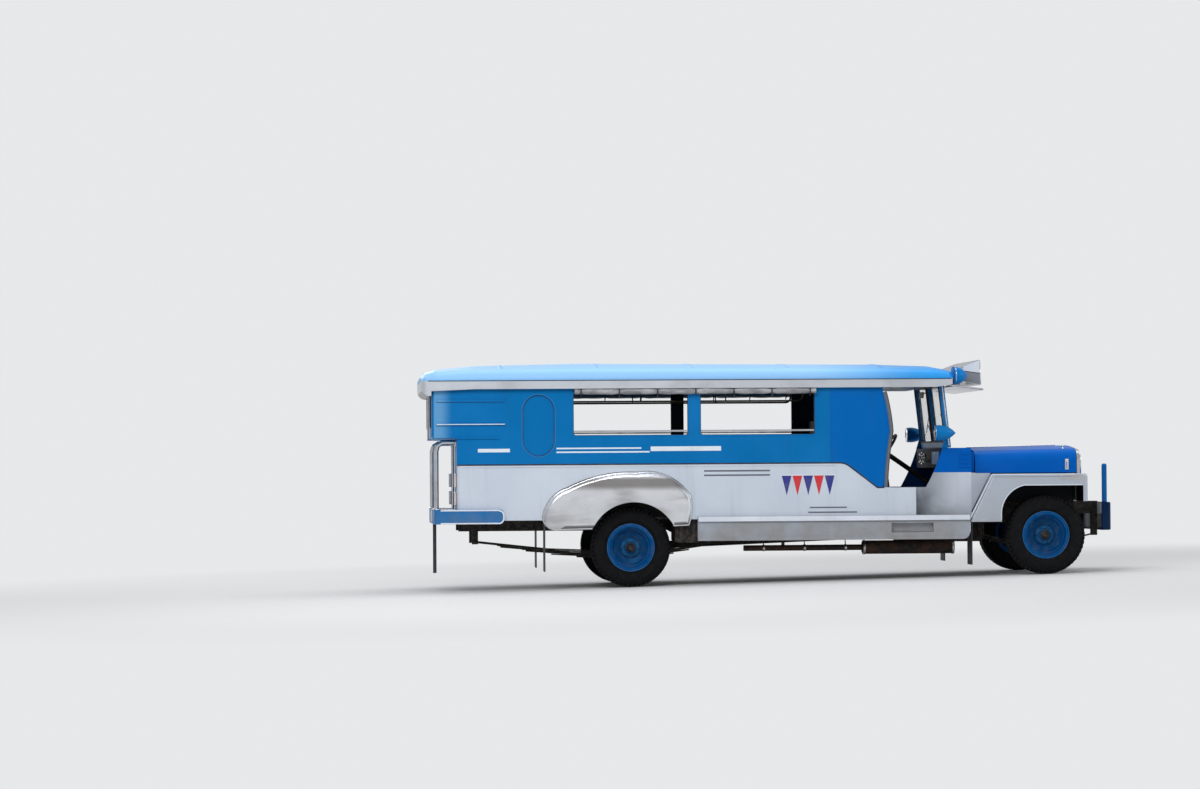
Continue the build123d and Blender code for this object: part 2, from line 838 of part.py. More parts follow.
def roof_at(x):
    # The crown, shoulder and edge of the roof at x, between its stations.
    for near, far in zip(roof_stations, roof_stations[1:]):
        if near[0] <= x <= far[0]:
            share = (x - near[0]) / (far[0] - near[0])
            return tuple(a + (b - a) * share for a, b in zip(near[1:], far[1:]))


def roof_lines(crown, shoulder, edge_half, skin):
    # The section of the roof, drawn in by skin.
    edge = edge_half - skin
    shoulder_y = edge - shoulder_in
    shoulder_z = shoulder - skin
    bend_y = (shoulder_y + edge) / 2 + shoulder_in * arc_swell
    bend_z = (shoulder_z + roof_edge) / 2 + (shoulder_z - roof_edge) * arc_swell
    Line((-edge, roof_edge), (edge, roof_edge))
    ThreePointArc((edge, roof_edge), (bend_y, bend_z), (shoulder_y, shoulder_z))
    ThreePointArc((shoulder_y, shoulder_z), (0, crown - skin), (-shoulder_y, shoulder_z))
    ThreePointArc((-shoulder_y, shoulder_z), (-bend_y, bend_z), (-edge, roof_edge))


hollow_rear = upper_rear + rear_sheet
hollow_front = pillar_x - 70
with BuildPart() as roof:
    for station_x, crown, shoulder, edge_half in roof_stations:
        with BuildSketch(section(station_x)):
            with BuildLine():
                roof_lines(crown, shoulder, edge_half, 0)
            make_face()
    loft(ruled=True)
    inner_stations = [hollow_rear] + [row[0] for row in roof_stations[3:6]] + [hollow_front]
    for station_x in inner_stations:
        with BuildSketch(section(station_x)):
            with BuildLine():
                roof_lines(*roof_at(station_x), roof_skin)
            make_face()
    loft(ruled=True, mode=Mode.SUBTRACT)
    # Bows across the ceiling
    bow_count = int((hollow_front - hollow_rear) / bow_pitch)
    for index in range(bow_count):
        bow_x = hollow_rear + (index + 0.5) * (hollow_front - hollow_rear) / bow_count
        with BuildSketch(section(bow_x)):
            with BuildLine():
                roof_lines(*roof_at(bow_x), roof_skin - 2)
            make_face()
            with BuildLine():
                roof_lines(*roof_at(bow_x), roof_skin + bow_depth)
            make_face(mode=Mode.SUBTRACT)
        extrude(amount=bow_width)
keep(roof, "roof")

# Silver gutters along both roof edges, joined at the tail by a fascia that rolls under
fascia_thick = 24
gutter_round = 60
gutter_rear_drop = 17
gutter_nose_rise = 25
gutter_nose_long = 160
gutter_nose_x = roof_front - 16
with BuildPart() as roof_gutters:
    with BuildSketch(side_plane(gutter_half)):
        with BuildLine():
            roll_start = (roof_rear, fascia_low + fascia_round)
            roll_end = (roof_rear + fascia_round, fascia_low)
            Polyline(
                roll_end, (upper_rear, fascia_low), (upper_rear, gutter_bottom - gutter_rear_drop),
                (-1500, gutter_bottom), (gutter_nose_x - gutter_nose_long, gutter_bottom),
                (gutter_nose_x, gutter_bottom + gutter_nose_rise), (gutter_nose_x, roof_edge),
                (roof_rear, roof_edge), roll_start,
            )
            RadiusArc(roll_start, roll_end, -fascia_round)
        make_face()
    extrude(amount=-(gutter_half - side_half))
    with BuildSketch(side_plane(side_half)):
        with BuildLine():
            inner_round = fascia_round - fascia_thick
            inner_start = (roof_rear + fascia_thick, fascia_low + fascia_round)
            inner_end = (roof_rear + fascia_round, fascia_low + fascia_thick)
            RadiusArc(roll_start, roll_end, -fascia_round)
            Polyline(roll_end, (upper_rear, fascia_low), (upper_rear, fascia_low + fascia_thick), inner_end)
            RadiusArc(inner_end, inner_start, inner_round)
            Polyline(inner_start, (roof_rear + fascia_thick, roof_edge), (roof_rear, roof_edge), roll_start)
        make_face()
    extrude(amount=-side_half)
    with BuildSketch(Plane.XY.offset(fascia_low)):
        with BuildLine():
            corner_lines(roof_rear, gutter_half, gutter_round)
        make_face()
    extrude(amount=roof_edge - fascia_low, mode=Mode.SUBTRACT)
    mirror(about=Plane.XZ)
keep(roof_gutters, "roof_gutters")

# Rear fenders: stainless arches that bulge from the side, with a flange along
# the body and a rolled lip round the wheel opening
tail_x_rear_fender = -842
crest_x = 58
crest_z = 1090
nose_x_rear_fender = 574
fender_foot_rear = 600
bulge_round = 42
rear_fender_skin = 8
flange_wide = 12
flange_deep = 8
lip_wide = 14
rear_fender_out = side_half + rear_fender_bulge


def rear_fender_lines():
    # The long tail, the crest over the wheel and the front that tucks in.
    tail = (tail_x_rear_fender, 655)
    low_tail = (tail_x_rear_fender + 142, 565)
    rise = (-614, 946)
    crest = (crest_x, crest_z)
    drop = (nose_x_rear_fender - 12, 868)
    foot = (nose_x_rear_fender - 28, fender_foot_rear)
    ThreePointArc(low_tail, (tail_x_rear_fender + 40, 592), tail)
    ThreePointArc(tail, (tail_x_rear_fender + 66, 832), rise)
    ThreePointArc(rise, (-290, 1063), crest)
    ThreePointArc(crest, (372, 1042), drop)
    ThreePointArc(drop, (nose_x_rear_fender, 760), foot)
    Polyline(foot, (crest_x - 20, fender_foot_rear - 20), low_tail)


fender_forms = []
for shrink, depth, rounding in (
    (0, rear_fender_bulge, bulge_round),
    (rear_fender_skin, rear_fender_bulge - rear_fender_skin, bulge_round - rear_fender_skin),
):
    with BuildPart() as fender_form:
        with BuildSketch(side_plane(side_half)):
            with BuildLine():
                rear_fender_lines()
            make_face()
            if shrink:
                offset(amount=-shrink, kind=Kind.INTERSECTION, mode=Mode.REPLACE)
        extrude(amount=depth)
        outer_edges = fender_form.faces().sort_by(Axis.Y)[0].edges()
        fillet(outer_edges.sort_by(Axis.Z)[2:], radius=rounding)
    fender_forms.append(fender_form.part)

with BuildPart() as rear_fenders:
    add(fender_forms[0])
    add(fender_forms[1], mode=Mode.SUBTRACT)
    # Flange against the body
    with BuildSketch(side_plane(side_half)):
        with BuildLine():
            rear_fender_lines()
        make_face()
        offset(amount=flange_wide, mode=Mode.REPLACE)
        with BuildLine():
            rear_fender_lines()
        make_face(mode=Mode.SUBTRACT)
    extrude(amount=flange_deep)
    with BuildSketch(side_plane(side_half)):
        with Locations((wheel_cut_x, rear_axle_z)):
            Circle(wheel_cut_radius - 4)
    extrude(amount=rear_fender_bulge + 20, mode=Mode.SUBTRACT)
    # Rolled lip round the wheel opening
    with BuildSketch(side_plane(side_half)):
        with Locations((wheel_cut_x, rear_axle_z)):
            Circle(wheel_cut_radius + lip_wide - 4)
            Circle(wheel_cut_radius - 4, mode=Mode.SUBTRACT)
        with Locations((wheel_cut_x, fender_foot_rear - 500)):
            Rectangle(4 * wheel_cut_radius, 1000, mode=Mode.SUBTRACT)
    extrude(amount=rear_fender_bulge + 3)
    mirror(about=Plane.XZ)
keep(rear_fenders, "rear_fenders")

# Front fenders: flat tops and sloping backs over squared arches, hollow below,
# with an apron beside the engine
fender_round = 30
nose_drop = 30
arch_back = 450
arch_corner = 224
arch_foot_height = 63
lip_thick = 46
slope_run = 228


def fender_profile(inset):
    # Sloping back, flat top and rounded nose of the fender, drawn in by inset.
    back_x = front_axle_x - fender_back - slope_run
    back_top = front_axle_x - fender_back
    slope = math.atan2(fender_top - fender_foot, slope_run)
    low = fender_foot - 2 * inset
    run_in = inset / math.sin(slope)
    top = fender_top - inset
    foot = (back_x + run_in - 2 * inset / math.tan(slope), low)
    heel = (back_top + run_in - inset / math.tan(slope), top)
    toe = (fender_front - nose_drop, top)
    tip = (fender_front - inset, fender_top - nose_drop)
    Line(foot, heel)
    Line(heel, toe)
    RadiusArc(toe, tip, nose_drop - inset)
    Polyline(tip, (fender_front - inset, low), foot)


with BuildPart() as front_fenders:
    with BuildSketch(side_plane(fender_half)):
        with BuildLine():
            fender_profile(0)
        make_face()
    extrude(amount=apron_y - fender_half)
    fillet(front_fenders.faces().sort_by(Axis.Y)[0].edges().sort_by(Axis.Z)[-3:], radius=fender_round)
    with BuildSketch(side_plane(fender_half - fender_skin)):
        with BuildLine():
            fender_profile(fender_skin)
        make_face()
    extrude(amount=apron_y - fender_half, mode=Mode.SUBTRACT)
    # Squared wheel arch with its rear corner rounded
    with BuildSketch(side_plane(fender_half)):
        with BuildLine():
            arch_rear = front_axle_x - arch_back
            arch_front = fender_front - lip_thick
            corner = (arch_rear + arch_corner, arch_height)
            Polyline(
                (arch_rear, fender_foot - fender_skin * 2), (arch_rear, fender_foot + arch_foot_height),
            )
            ThreePointArc(
                (arch_rear, fender_foot + arch_foot_height), (arch_rear + 58, arch_height - 104), corner,
            )
            Polyline(
                corner, (arch_front, arch_height), (arch_front, fender_lip_low), (fender_front, fender_lip_low),
                (fender_front, fender_foot - fender_skin * 2), (arch_rear, fender_foot - fender_skin * 2),
            )
        make_face()
    extrude(amount=-2 * fender_skin, mode=Mode.SUBTRACT)
    # Nose below its lip, and the back where the cowl stands
    with BuildSketch(side_plane(fender_half)):
        with Locations((fender_front, fender_lip_low - 200)):
            Rectangle(4 * lip_thick, 400, align=(Align.CENTER, Align.CENTER))
    extrude(amount=apron_y - fender_half, mode=Mode.SUBTRACT)
    with BuildSketch(side_plane(cowl_half + seat_gap)):
        with Locations((cowl_front - 300 + seat_gap, fender_foot + 200)):
            Rectangle(600, 1000)
    extrude(amount=-cowl_half, mode=Mode.SUBTRACT)
    # Apron
    with BuildSketch(side_plane(apron_y)):
        with BuildLine():
            apron_foot = rail_top_front - 22
            Polyline(
                (front_axle_x - fender_back - 100, apron_foot), (front_axle_x - fender_back + 6, fender_top - fender_skin),
                (fender_front - nose_drop, fender_top - fender_skin), (fender_front - nose_drop, apron_foot + 32),
                (front_axle_x - 330, apron_foot + 32), (front_axle_x - 430, apron_foot),
                close=True,
            )
        make_face()
    extrude(amount=fender_skin)
    mirror(about=Plane.XZ)
keep(front_fenders, "front_fenders")


# Bonnet: a lofted shell that narrows to the grille
def hood_lines(half, low, crown, corner):
    # Upright sides, rounded corners and a slightly crowned top.
    shoulder = crown - hood_crown
    bend = corner * (1 - math.sqrt(0.5))
    Polyline((-half, shoulder - corner), (-half, low), (half, low), (half, shoulder - corner))
    ThreePointArc((half, shoulder - corner), (half - bend, shoulder - bend), (half - corner, shoulder))
    ThreePointArc((half - corner, shoulder), (0, crown), (corner - half, shoulder))
    ThreePointArc((corner - half, shoulder), (bend - half, shoulder - bend), (-half, shoulder - corner))


# Columns: x, half width, crown height
hood_stations = (
    (hood_rear, hood_half_rear, hood_rear_z),
    (hood_front, hood_half_front, hood_front_z),
)
with BuildPart() as hood:
    for station_x, half, crown in hood_stations:
        with BuildSketch(section(station_x)):
            with BuildLine():
                hood_lines(half, hood_side_bottom, crown, hood_corner)
            make_face()
    loft(ruled=True)
    for station_x, half, crown in hood_stations:
        with BuildSketch(section(station_x)):
            with BuildLine():
                hood_lines(half - hood_skin, hood_side_bottom, crown - hood_skin, hood_corner - hood_skin)
            make_face()
    loft(ruled=True, mode=Mode.SUBTRACT)
    # Hinge barrels on tongues under the rear edge
    for barrel_y in (-hinge_y, hinge_y):
        with BuildSketch(Plane.XZ.offset(-barrel_y + hinge_half)):
            with Locations((hinge_x, hinge_z)):
                Circle(hinge_barrel)
            with BuildLine():
                Polyline(
                    (hinge_x, hinge_z - hinge_pin), (hinge_x + 100, hinge_z - hinge_pin),
                    (hinge_x + 100, hood_rear_z - hood_skin - 4), (hinge_x + 60, hood_rear_z - hood_skin - 4),
                    (hinge_x + 40, hinge_z + hinge_barrel), (hinge_x, hinge_z + hinge_barrel),
                    close=True,
                )
            make_face()
            with Locations((hinge_x, hinge_z)):
                Circle(hinge_pin + running_gap, mode=Mode.SUBTRACT)
        extrude(amount=-2 * hinge_half)
keep(hood, "hood")

# Cowl: sides with louvres and the doorway's front edge, firewall, dash and the
# bonnet's hinge pins
louvre_count = 4
louvre_long = 100
louvre_wide = 16
louvre_pitch = 42
louvre_out = 8
louvre_back = 62
louvre_drop = 118
dash_drop = 190
dash_lip = 20
dash_face = 20
door_bow = (96, 190)
with BuildPart() as cowl:
    with BuildSketch(side_plane(cowl_half)):
        with BuildLine():
            Line((cowl_rear + moving_gap, doorsill), (door_foot, doorsill))
            ThreePointArc(
                (door_foot, doorsill), (door_foot + door_bow[0], doorsill + door_bow[1]), (pillar_x, cowl_top),
            )
            Polyline(
                (pillar_x, cowl_top), (cowl_front, cowl_top), (cowl_front, floor_under),
                (cowl_rear + moving_gap, floor_under), (cowl_rear + moving_gap, doorsill),
            )
        make_face()
    extrude(amount=-cowl_skin)
    with BuildSketch(side_plane(cowl_half)):
        with Locations((cowl_front - louvre_back, cowl_top - louvre_drop)):
            with GridLocations(0, louvre_pitch, 1, louvre_count):
                SlotOverall(louvre_long, louvre_wide)
    extrude(amount=louvre_out)
    mirror(about=Plane.XZ)
    with Locations((cowl_front - firewall_thick / 2, 0, (floor_top + cowl_top) / 2)):
        Box(firewall_thick, 2 * cowl_half, cowl_top - floor_top)
    with BuildSketch(side_plane(cowl_half)):
        with BuildLine():
            Polyline(
                (pillar_x, cowl_top), (cowl_front, cowl_top), (cowl_front, cowl_top - dash_lip),
                (pillar_x + dash_face, cowl_top - dash_lip), (pillar_x + dash_face / 2, cowl_top - dash_drop),
                (pillar_x - dash_face / 2, cowl_top - dash_drop),
                close=True,
            )
        make_face()
    extrude(amount=-2 * cowl_half)
    for pin_y in (-hinge_y, hinge_y):
        with BuildSketch(Plane.XZ.offset(-pin_y + hinge_half + moving_gap + ear_thick)):
            with Locations((hinge_x, hinge_z)):
                Circle(hinge_pin)
        extrude(amount=-2 * (hinge_half + moving_gap + ear_thick))
        for ear_side in (-1, 1):
            ear_y = pin_y + ear_side * (hinge_half + moving_gap + ear_thick / 2)
            with Locations(((cowl_front + hinge_x + ear_reach) / 2, ear_y, hinge_z)):
                Box(hinge_x + ear_reach - cowl_front, ear_thick, ear_tall)
keep(cowl, "cowl")

# Grille: a surround that follows the bonnet, upright bars and lamp rings
grille_gap = 10
grille_depth = 30
grille_in = 11
grille_open_half = 320
grille_open_low = 850
grille_open_high = 1262
grille_bars = 9
grille_bar_radius = 9
lamp_y = 455
lamp_z = 1176
lamp_radius = 98
lamp_ring = 12
lamp_ring_out = 6
grille_rear = hood_front + grille_gap
grille_front = grille_rear + grille_depth
grille_half = hood_half_front - hood_skin - grille_in
with BuildPart() as grille:
    with BuildSketch(section(grille_rear)):
        with BuildLine():
            hood_lines(grille_half, fender_top + seat_gap, hood_front_z - hood_skin, hood_corner - hood_skin)
        make_face()
        with Locations((0, (rail_top_front + fender_top) / 2 + 10)):
            Rectangle(2 * (apron_y - 6), fender_top - rail_top_front + 20)
        with Locations((0, (grille_open_low + grille_open_high) / 2)):
            Rectangle(2 * grille_open_half, grille_open_high - grille_open_low, mode=Mode.SUBTRACT)
    extrude(amount=grille_depth)
    with BuildSketch(Plane.XY.offset(grille_open_low)):
        with Locations((grille_rear + grille_depth / 2, 0)):
            with GridLocations(0, 2 * grille_open_half / (grille_bars + 1), 1, grille_bars):
                Circle(grille_bar_radius)
    extrude(amount=grille_open_high - grille_open_low)
    with BuildSketch(section(grille_rear)):
        with Locations((-lamp_y, lamp_z), (lamp_y, lamp_z)):
            Circle(lamp_radius + lamp_ring)
    extrude(amount=grille_depth + lamp_ring_out)
    with BuildSketch(section(grille_rear)):
        with Locations((-lamp_y, lamp_z), (lamp_y, lamp_z)):
            Circle(lamp_radius)
    extrude(amount=grille_depth + lamp_ring_out, mode=Mode.SUBTRACT)
keep(grille, "grille")

# Headlamps: bowls with a rim and a domed lens, seated in the grille's rings
lens_bulge = 14
lamp_bezel = 6
with BuildPart() as headlamps:
    with BuildSketch(Plane(origin=(grille_rear, -lamp_y, lamp_z), x_dir=(1, 0, 0), z_dir=(0, -1, 0))):
        with BuildLine():
            rim = lamp_radius - seat_gap
            lens_x = grille_depth + lamp_ring_out + lamp_bezel
            lens_half = rim - lamp_bezel
            lens_ball = (lens_half ** 2 + lens_bulge ** 2) / (2 * lens_bulge)
            Polyline((0, 0), (0, rim), (lens_x - lamp_bezel, rim), (lens_x, lens_half))
            RadiusArc((lens_x, lens_half), (lens_x + lens_bulge, 0), lens_ball)
            Line((lens_x + lens_bulge, 0), (0, 0))
        make_face()
    revolve(axis=Axis((grille_rear, -lamp_y, lamp_z), (1, 0, 0)))
    mirror(about=Plane.XZ)
keep(headlamps, "headlamps")

# Windscreen: frame with a centre post and gussets at its feet, two panes, leaning back
screen_foot_x = pillar_x + 42
screen_lean = 6.2
screen_deep = 44
screen_post = 60
gusset_high = 130
gusset_long = 46
pane_thick = 6
lean_rad = math.radians(screen_lean)
screen_height = (roof_edge - cowl_top - screen_deep * math.sin(lean_rad) - 2 * seat_gap) / math.cos(lean_rad)
screen_half = cowl_half - 4
pane_wide = (2 * screen_half - 3 * screen_post) / 2
pane_high = screen_height - 2 * screen_post
pane_y = (pane_wide + screen_post) / 2
screen_plane = Plane(
    origin=(screen_foot_x, 0, cowl_top + seat_gap), x_dir=(0, 1, 0),
    z_dir=(math.cos(lean_rad), 0, math.sin(lean_rad)),
)
with BuildPart() as windscreen_frame:
    with BuildSketch(screen_plane):
        with Locations((0, screen_height / 2)):
            Rectangle(2 * screen_half, screen_height)
        with Locations((-pane_y, screen_height / 2), (pane_y, screen_height / 2)):
            RectangleRounded(pane_wide, pane_high, 20, mode=Mode.SUBTRACT)
    extrude(amount=screen_deep)
    with BuildSketch(side_plane(screen_half)):
        with BuildLine():
            Polyline(
                (screen_foot_x + 8, cowl_top + seat_gap), (screen_foot_x - gusset_long, cowl_top + seat_gap),
                (screen_foot_x - 4, cowl_top + gusset_high),
                close=True,
            )
        make_face()
    extrude(amount=-screen_post / 2)
    mirror(about=Plane.XZ)
keep(windscreen_frame, "windscreen_frame")

with BuildPart() as windscreen_glass:
    with BuildSketch(screen_plane.offset((screen_deep - pane_thick) / 2)):
        with Locations((-pane_y, screen_height / 2), (pane_y, screen_height / 2)):
            RectangleRounded(pane_wide, pane_high, 20)
    extrude(amount=pane_thick)
keep(windscreen_glass, "windscreen_glass")

# Seat frames: folded sheet benches over the wheels, the front seat's box and the
# partition behind it
bench_rear = lower_rear + bench_rear_gap
front_seat_rear = cowl_front - front_seat_back - front_seat_depth
front_seat_front = cowl_front - front_seat_back
with BuildPart() as seat_frames:
    with BuildSketch(section(bench_rear)):
        with BuildLine():
            Polyline(
                (-bench_y, floor_top), (-bench_y, bench_top), (-side_inner, bench_top),
                (-side_inner, bench_top - bench_sheet), (-bench_y - bench_sheet, bench_top - bench_sheet),
                (-bench_y - bench_sheet, floor_top),
                close=True,
            )
        make_face()
    extrude(amount=bench_front - bench_rear)
    mirror(about=Plane.XZ)
    with Locations(((front_seat_rear + front_seat_front) / 2, 0, (floor_top + front_seat_top) / 2)):
        Box(front_seat_depth, 2 * front_seat_half, front_seat_top - floor_top)
    with Locations((partition_x, 0, (floor_top + partition_top) / 2)):
        Box(partition_thick, 2 * side_inner, partition_top - floor_top)
keep(seat_frames, "seat_frames")

# Cushions: bench pads and backs along the sides, the front pad and its back
with BuildPart() as seat_cushions:
    pad_x = (bench_rear + bench_front) / 2
    pad_long = bench_front - bench_rear - 2 * seat_gap
    pad_wide = side_inner - bench_y - seat_gap
    for pad_side in (-1, 1):
        with Locations((pad_x, pad_side * (bench_y + pad_wide / 2), bench_top + seat_gap + pad_thick / 2)):
            Box(pad_long, pad_wide, pad_thick)
        with Locations((pad_x, pad_side * (side_inner - seat_gap - back_pad_thick / 2), back_pad_z)):
            Box(pad_long, back_pad_thick, back_pad_height)
    front_pad_x = (front_seat_rear + front_seat_front) / 2
    with Locations((front_pad_x, 0, front_seat_top + seat_gap + front_pad_thick / 2)):
        Box(front_seat_depth, 2 * front_seat_half - 20, front_pad_thick)
    back_x = partition_x + partition_thick / 2 + seat_gap + front_pad_thick / 2
    with Locations((back_x, 0, front_seat_top + front_pad_thick / 2 + front_back_height / 2)):
        Box(front_pad_thick, 2 * front_seat_half - 20, front_back_height)
keep(seat_cushions, "seat_cushions")

# Steering wheel on the left, its hub turning on the column's tip
steer_x = cowl_front - steer_back
steer_rad = math.radians(steer_tilt)
steer_dir = (math.cos(steer_rad), 0, -math.sin(steer_rad))
ring_plane = Plane(origin=(steer_x, steer_y, steer_z), x_dir=(0, 1, 0), z_dir=steer_dir)
hub_drop = 50
hub_socket = 20
with BuildPart() as steering_wheel:
    with BuildSketch(Plane(origin=(steer_x, steer_y, steer_z), x_dir=(0, 1, 0), z_dir=(steer_dir[2], 0, -steer_dir[0]))):
        with Locations((ring_radius, 0)):
            Circle(ring_thick)
    revolve(axis=Axis((steer_x, steer_y, steer_z), steer_dir))
    with BuildSketch(ring_plane.offset(6)):
        Circle(44)
        with PolarLocations(0, 3, start_angle=90):
            with Locations((ring_radius / 2, 0)):
                Rectangle(ring_radius, 26)
    extrude(amount=14)
    with BuildSketch(ring_plane):
        Circle(30)
    extrude(amount=hub_drop)
    with BuildSketch(ring_plane.offset(hub_socket)):
        Circle(column_tip + running_gap)
    extrude(amount=hub_drop - hub_socket, mode=Mode.SUBTRACT)
keep(steering_wheel, "steering_wheel")

column_start = hub_drop + moving_gap
column_long = (firewall_x - seat_gap - steer_x - column_radius * math.sin(steer_rad)) / math.cos(steer_rad)
with BuildPart() as steering_column:
    with BuildSketch(ring_plane.offset(column_start)):
        Circle(column_radius)
    extrude(amount=column_long - column_start)
    with BuildSketch(ring_plane.offset(hub_socket + moving_gap)):
        Circle(column_tip)
    extrude(amount=hub_drop)
keep(steering_column, "steering_column")

# Driver's controls: gear lever and hand brake on a floor plate, three pedals hung
# from the firewall
lever_ahead = 190
lever_y = 60
lever_long = 430
lever_radius = 9
lever_lean = (-0.12, 0.1, 1)
knob_radius = 24
brake_y = -60
brake_long = 300
brake_radius = 11
brake_lean = (-0.25, 0, 1)
control_plate = 20
pedal_width = 60
pedal_back = 190
pedal_rise = (110, 190)
pedal_arm = 18
pedal_offsets = (-150, 60, 190)
with BuildPart() as controls:
    lever_x = front_seat_front + lever_ahead
    with BuildSketch(Plane.XY.offset(floor_top)):
        with Locations((lever_x, (lever_y + brake_y) / 2)):
            SlotOverall(lever_y - brake_y + 80, 80, rotation=90)
    extrude(amount=control_plate)
    # Columns: y, length, radius, lean
    for base_y, long, radius, lean in (
        (lever_y, lever_long, lever_radius, lever_lean), (brake_y, brake_long, brake_radius, brake_lean),
    ):
        lever_plane = Plane(origin=(lever_x, base_y, floor_top + control_plate / 2), z_dir=lean)
        with BuildSketch(lever_plane):
            Circle(radius)
        extrude(amount=long)
        with Locations(lever_plane.offset(long)):
            Sphere(knob_radius if base_y == lever_y else brake_radius)
    for pedal_offset in pedal_offsets:
        with BuildSketch(Plane.XZ.offset(-(steer_y + pedal_offset) + pedal_width / 2)):
            with BuildLine():
                pedal_x = firewall_x - pedal_back
                pad_low, pad_high = pedal_rise
                Polyline(
                    (pedal_x, floor_top + pad_low), (pedal_x + 40, floor_top + pad_high),
                    (firewall_x, floor_top + pad_high + 90), (firewall_x, floor_top + pad_high + 90 - pedal_arm),
                    (pedal_x + 52, floor_top + pad_high - pedal_arm), (pedal_x + 12, floor_top + pad_low - 6),
                    close=True,
                )
            make_face()
        extrude(amount=-pedal_width)
keep(controls, "controls")

# Rockers below the doorway and the mid body: a lip, a foot recess, a curled nose
rocker_rear = 638
rocker_front = cowl_front - 40
rocker_lip = 50
rocker_face = 31
rocker_lip_high = 26
lip_drop = 24
curl_radius = 70
recess_long = 407
recess_high = 90
recess_deep = 60
with BuildPart() as rockers:
    with BuildSketch(section(rocker_rear)):
        with BuildLine():
            lip_y = -side_half - rocker_lip
            face_y = -side_half - rocker_face
            lip_top = side_bottom + rocker_lip_high
            Polyline(
                (-side_inner, rocker_bottom), (-side_inner, side_bottom), (-side_half, side_bottom),
                (-side_half, lip_top), (lip_y, lip_top), (lip_y, side_bottom - lip_drop),
                (face_y, side_bottom - lip_drop - 12), (face_y, rocker_bottom + 34), (face_y - 10, rocker_bottom + 26),
                (face_y - 10, rocker_bottom),
                close=True,
            )
        make_face()
    extrude(amount=rocker_front - rocker_rear)
    with Locations((rocker_front - 558, -side_half - rocker_lip + recess_deep / 2 + 10, rocker_bottom + 113)):
        Box(recess_long, recess_deep, recess_high, mode=Mode.SUBTRACT)
    nose_edges = rockers.edges().filter_by(Axis.Y).group_by(Axis.X)[-1].group_by(Axis.Z)[0]
    fillet(nose_edges, radius=curl_radius)
    mirror(about=Plane.XZ)
keep(rockers, "rockers")

# Front bumper: a channel with rounded ends, a guard post rising at each end
bumper_corner = 40
pad_drop = 20
with BuildPart() as front_bumper:
    bumper_z = (bumper_low + bumper_high) / 2
    with Locations(((bumper_rear + bumper_front) / 2, 0, bumper_z)):
        Box(bumper_depth, 2 * bumper_half, bumper_high - bumper_low)
    fillet(front_bumper.edges().filter_by(Axis.Z).group_by(Axis.X)[-1], radius=bumper_corner)
    fillet(front_bumper.faces().sort_by(Axis.X)[-1].edges().filter_by(Axis.Y), radius=bumper_round)
    with BuildSketch(section(bumper_rear)):
        with Locations((0, bumper_z)):
            Rectangle(2 * (guard_y - guard_radius), bumper_high - bumper_low - 2 * bumper_skin)
    extrude(amount=bumper_depth - bumper_corner, mode=Mode.SUBTRACT)
    # Pads inside the channel where the rails bolt on
    for pad_y in (-rail_y, rail_y):
        with Locations(
            (bumper_rear + (bumper_depth - bumper_corner) / 2, pad_y, (rail_low_front + bumper_high - pad_drop) / 2)
        ):
            Box(bumper_depth - bumper_corner, rail_width, bumper_high - pad_drop - rail_low_front)
    for post_y in (-guard_y, guard_y):
        with BuildSketch(Plane.XY.offset(bumper_low)):
            with Locations((bumper_rear + guard_radius, post_y)):
                Circle(guard_radius)
        extrude(amount=guard_top - bumper_low)
    fillet(front_bumper.edges().filter_by(GeomType.CIRCLE).group_by(Axis.Z)[-1], radius=guard_round)
keep(front_bumper, "front_bumper")

# Rear step: a hollow box across the tail whose ends run forward as bands
with BuildPart() as rear_step:
    with BuildSketch(Plane.XY.offset(step_low)):
        with BuildLine():
            step_inner = lower_rear - 4
            Polyline(
                (step_front, -side_half), (step_front, -step_half), (step_rear, -step_half), (step_rear, step_half),
                (step_front, step_half), (step_front, side_half), (step_inner, side_half), (step_inner, -side_half),
                close=True,
            )
        make_face()
    extrude(amount=step_high - step_low)
    fillet(rear_step.edges().filter_by(Axis.Y).group_by(Axis.X)[-1], radius=45)
    fillet(rear_step.edges().filter_by(Axis.Z).group_by(Axis.X)[0], radius=60)
    with Locations(((step_rear + step_inner) / 2, 0, (step_low + step_high - step_tread) / 2)):
        Box(step_inner - step_rear - 40, 2 * step_half - 140, step_high - step_tread - step_low, mode=Mode.SUBTRACT)
keep(rear_step, "rear_step")

